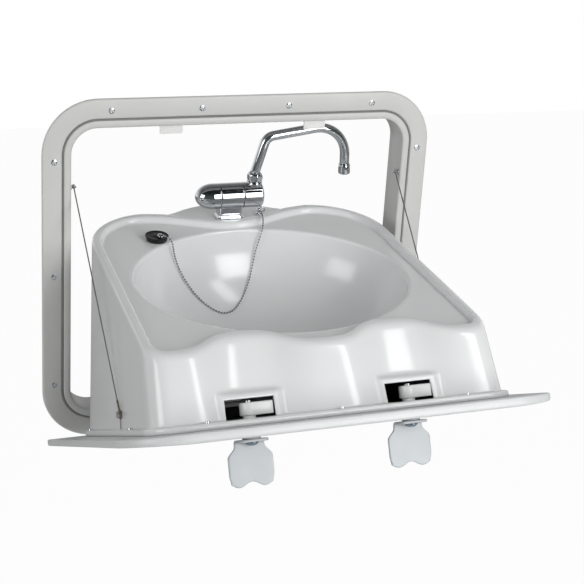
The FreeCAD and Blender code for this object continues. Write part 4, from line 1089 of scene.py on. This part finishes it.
# Spout: a chromed tube bent in three places, which stands in the nut, rises to the right and ends in a
# turned outlet that points down.
spout_radius = 0.0062
spout_line = ((0.0305, 0.0503), (0.0305, 0.0635), (0.0416, 0.1084), (0.148, 0.1242), (0.1538, 0.0545))
spout_bends = (0.012, 0.014, 0.040)
spout_bend_steps = 14
spout_short = 0.002
spout_turns = 32
outlet_length = 0.013
outlet_turns = 40
outlet_profile = ((0.0, 0.0063), (0.0001, 0.0069), (0.0005, 0.0074), (0.0012, 0.0077), (0.0118, 0.0077),
                  (0.0126, 0.0075), (0.0130, 0.0069), (0.0130, 0.0054), (0.0126, 0.0051),
                  (0.0114, 0.0050))
places = [Vector(spot) for spot in spout_line]
spout_path = [places[0]]
for before, corner, after, bend in zip(places, places[1:], places[2:], spout_bends):
    back = (before - corner).normalized()
    forth = (after - corner).normalized()
    half_angle = back.angle(forth) / 2
    middle = corner + (back + forth).normalized() * (bend / math.sin(half_angle))
    start = corner + back * (bend / math.tan(half_angle)) - middle
    end = corner + forth * (bend / math.tan(half_angle)) - middle
    sweep = start.angle(end)
    for step in range(spout_bend_steps + 1):
        share = step / spout_bend_steps
        arm = start * math.sin(sweep * (1 - share)) + end * math.sin(sweep * share)
        spout_path.append(middle + arm / math.sin(sweep))
tip_way = (places[-1] - places[-2]).normalized()
spout_path.append(places[-1] - tip_way * spout_short)
spout_rings = []
for step, spot in enumerate(spout_path):
    before = spout_path[max(0, step - 1)]
    after = spout_path[min(len(spout_path) - 1, step + 1)]
    way = (after - before).normalized() * spout_radius
    spout_rings.append([on_tap(spot.x - way.y * out, back * spout_radius, spot.y + way.x * out)
                        for out, back in full_turn(spout_turns)])
spout = skin("spout_tube_chromed", spout_rings)
fit_piece(spout, chrome, "chrome", "spout", "spout_tube")
outlet_foot = places[-1] - tip_way * outlet_length
outlet = merged("spout_outlet_chromed", [
    turned(outlet_profile, on_tap(outlet_foot.x, 0, outlet_foot.y),
           rightward * tip_way.x + rim_up * tip_way.y, outlet_turns)])
fit_piece(outlet, chrome, "chrome", "spout", "spout_outlet")

# Chain stay: a small chromed post with a ball top on the deck, beside the tap. A loop of wire at its
# side holds the end of the plug's chain.
post_spot = (0.042, 0.3722, -0.004)
post_ball = 0.0026
post_ball_height = 0.0060
post_ball_start = 0.22
post_ball_steps = 11
post_tip = 0.0001
post_turns = 32
post_loop_spot = Vector((0.0466, 0.3722, 0.0024))
post_loop = 0.0034
post_loop_wire = 0.0009
post_profile = [(0.0, 0.0045), (0.0010, 0.0045), (0.0016, 0.0036), (0.0018, 0.0020), (0.0022, 0.0016),
                (0.0038, 0.0016)]
upward = Vector((0, 0, 1))
ring_turns = 40
wire_turns = 12


def ball_up(radius, steps, tip, middle=0.0, start=0.0):
    """Heights and radii up a ball, from a share of the way round to its top."""
    profile = []
    for step in range(steps + 1):
        angle = math.pi * (start + (1 - start) * step / steps)
        profile.append((middle - radius * math.cos(angle), max(tip, radius * math.sin(angle))))
    return profile


def wire_ring(middle, first, second, radius, wire):
    """Points and faces of a ring of round wire that lies along two directions by the rim plane."""
    upright = first.cross(second)
    rings = []
    for across, ahead in full_turn(ring_turns):
        flat = first * across + second * ahead
        rings.append([on_rim(*(middle + flat * (radius + wire * out) + upright * (wire * up)))
                      for out, up in full_turn(wire_turns)])
    return shell(rings, joined=True)


post_profile += ball_up(post_ball, post_ball_steps, post_tip, post_ball_height, post_ball_start)[1:]
post = merged("chain_stay_turned", [
    turned(post_profile, on_rim(*post_spot), rim_up, post_turns),
    wire_ring(post_loop_spot, rightward, upward, post_loop, post_loop_wire)])
fit_piece(post, chrome, "chrome", "door", "chain_stay")

# Plug: a black rubber plug that lies at the rear of the tray, moulded with a rim round its top. A
# plated stud in the top carries a ring of wire for the chain.
plug_spot = Vector((-0.109, 0.318, -0.00698))
plug_thick = 0.007
plug_turns = 56
plug_shine = 0.2
plug_profile = ((0.0, 0.0105), (0.0004, 0.0121), (0.0012, 0.0126), (0.0052, 0.0139), (0.0060, 0.0145),
                (0.0066, 0.0145), (0.0070, 0.0140), (0.0069, 0.0132), (0.0064, 0.0122),
                (0.0064, 0.0060), (0.0068, 0.0045), (0.0069, 0.0005))
stud_out = 0.0048
stud_turns = 32
stud_profile = ((-0.0004, 0.0014), (0.0022, 0.0014), (0.0024, 0.0023), (0.0027, 0.0024),
                (0.0031, 0.0021), (0.0034, 0.0010), (0.0034, 0.0002))
ring_turn = math.radians(-56.6)
ring_out = 0.006
ring_rise = 0.0012
ring_radius = 0.0036
ring_wire = 0.0008
plug_black = (0.012, 0.012, 0.013)
plug_rubber = finish("plug_rubber", plug_black, roughness=0.42, shade=0.2, grain_scale=1200.0, bump=0.2)
preset(plug_rubber.node_tree.nodes["Principled BSDF"], [("Specular IOR Level", plug_shine)])
plug = merged("plug_moulded", [turned(plug_profile, on_rim(*plug_spot), rim_up, plug_turns)])
fit_piece(plug, plug_rubber, "plug_rubber", "door", "plug")
plug_top = plug_spot + upward * plug_thick
ring_way = Vector((math.cos(ring_turn), math.sin(ring_turn), 0))
stud_spot = on_rim(*(plug_top + ring_way * stud_out))
stud = merged("plug_stud_turned", [turned(stud_profile, stud_spot, rim_up, stud_turns)])
fit_piece(stud, chrome, "chrome", "door", "plug_stud")
ring_middle = plug_top + ring_way * ring_out + upward * ring_rise
plug_ring = merged("plug_ring_bent", [
    wire_ring(ring_middle, rightward, Vector((0, 1, 0)), ring_radius, ring_wire)])
fit_piece(plug_ring, chrome, "chrome", "door", "plug_ring")

# Plug chain: a nickel-plated ball chain, hollow balls on short links. It hangs from the chain stay down
# the bowl's rear wall and comes up again to the ring on the plug.
ball_radius = 0.0012
ball_pitch = 0.0038
ball_steps = 8
ball_turns = 12
ball_pole = 0.00002
link_radius = 0.0003
link_turns = 6
chain_smooth = 24
chain_route = (
    (0.0423, 0.3693, 0.0020), (0.0420, 0.3635, 0.0032), (0.0410, 0.3565, 0.0038),
    (0.0390, 0.3470, 0.0030), (0.0360, 0.3365, 0.0004), (0.0325, 0.3275, -0.0055),
    (0.0285, 0.3250, -0.0170), (0.0245, 0.3245, -0.0320), (0.0205, 0.3200, -0.0490),
    (0.0135, 0.3095, -0.0690), (0.0015, 0.2960, -0.0860), (-0.0130, 0.2835, -0.0960),
    (-0.0295, 0.2800, -0.0966), (-0.0450, 0.2855, -0.0890), (-0.0600, 0.2930, -0.0765),
    (-0.0740, 0.3005, -0.0580), (-0.0840, 0.3055, -0.0380), (-0.0900, 0.3050, -0.0200),
    (-0.0923, 0.3016, -0.0105), (-0.0944, 0.3006, -0.0026), (-0.0978, 0.3042, 0.0020),
    (-0.1023, 0.3092, 0.0026))
nickel_tone = (0.32, 0.33, 0.34)
curve = bpy.data.curves.new("chain_line", "CURVE")
curve.dimensions = "3D"
curve.resolution_u = chain_smooth
spline = curve.splines.new("NURBS")
spline.points.add(len(chain_route) - 1)
for point, spot in zip(spline.points, chain_route):
    point.co = (*on_rim(*spot), 1.0)
spline.order_u = 3
spline.use_endpoint_u = True
line_object = bpy.data.objects.new("chain_line", curve)
line_mesh = bpy.data.meshes.new_from_object(line_object)
chain_line = [vertex.co.copy() for vertex in line_mesh.vertices]
bpy.data.objects.remove(line_object)
bpy.data.meshes.remove(line_mesh)
chain_length = sum((after - before).length for before, after in zip(chain_line, chain_line[1:]))
ball_count = round((chain_length - 2 * ball_radius) / ball_pitch) + 1
spacing = (chain_length - 2 * ball_radius) / (ball_count - 1)
ball_spots = []
ahead_by = ball_radius
for before, after in zip(chain_line, chain_line[1:]):
    run = (after - before).length
    while ahead_by <= run and len(ball_spots) < ball_count:
        ball_spots.append(before.lerp(after, ahead_by / run))
        ahead_by += spacing
    ahead_by -= run
ball_profile = ball_up(ball_radius, ball_steps, ball_pole)
beads = []
for step, spot in enumerate(ball_spots):
    ahead = ball_spots[min(step + 1, len(ball_spots) - 1)]
    behind = ball_spots[max(step - 1, 0)]
    beads.append(turned(ball_profile, spot, ahead - behind, ball_turns))
    if ahead != spot:
        gap = ahead - spot
        beads.append(turned([(0.0, link_radius), (gap.length, link_radius)], spot, gap, link_turns))
nickel = finish("nickel_plate", nickel_tone, roughness=0.22, metallic=1.0, shade=0.15, bump=0.02)
chain = merged("plug_ball_chain", beads)
fit_piece(chain, nickel, "chrome", "door", "plug_chain")

bpy.context.view_layer.update()
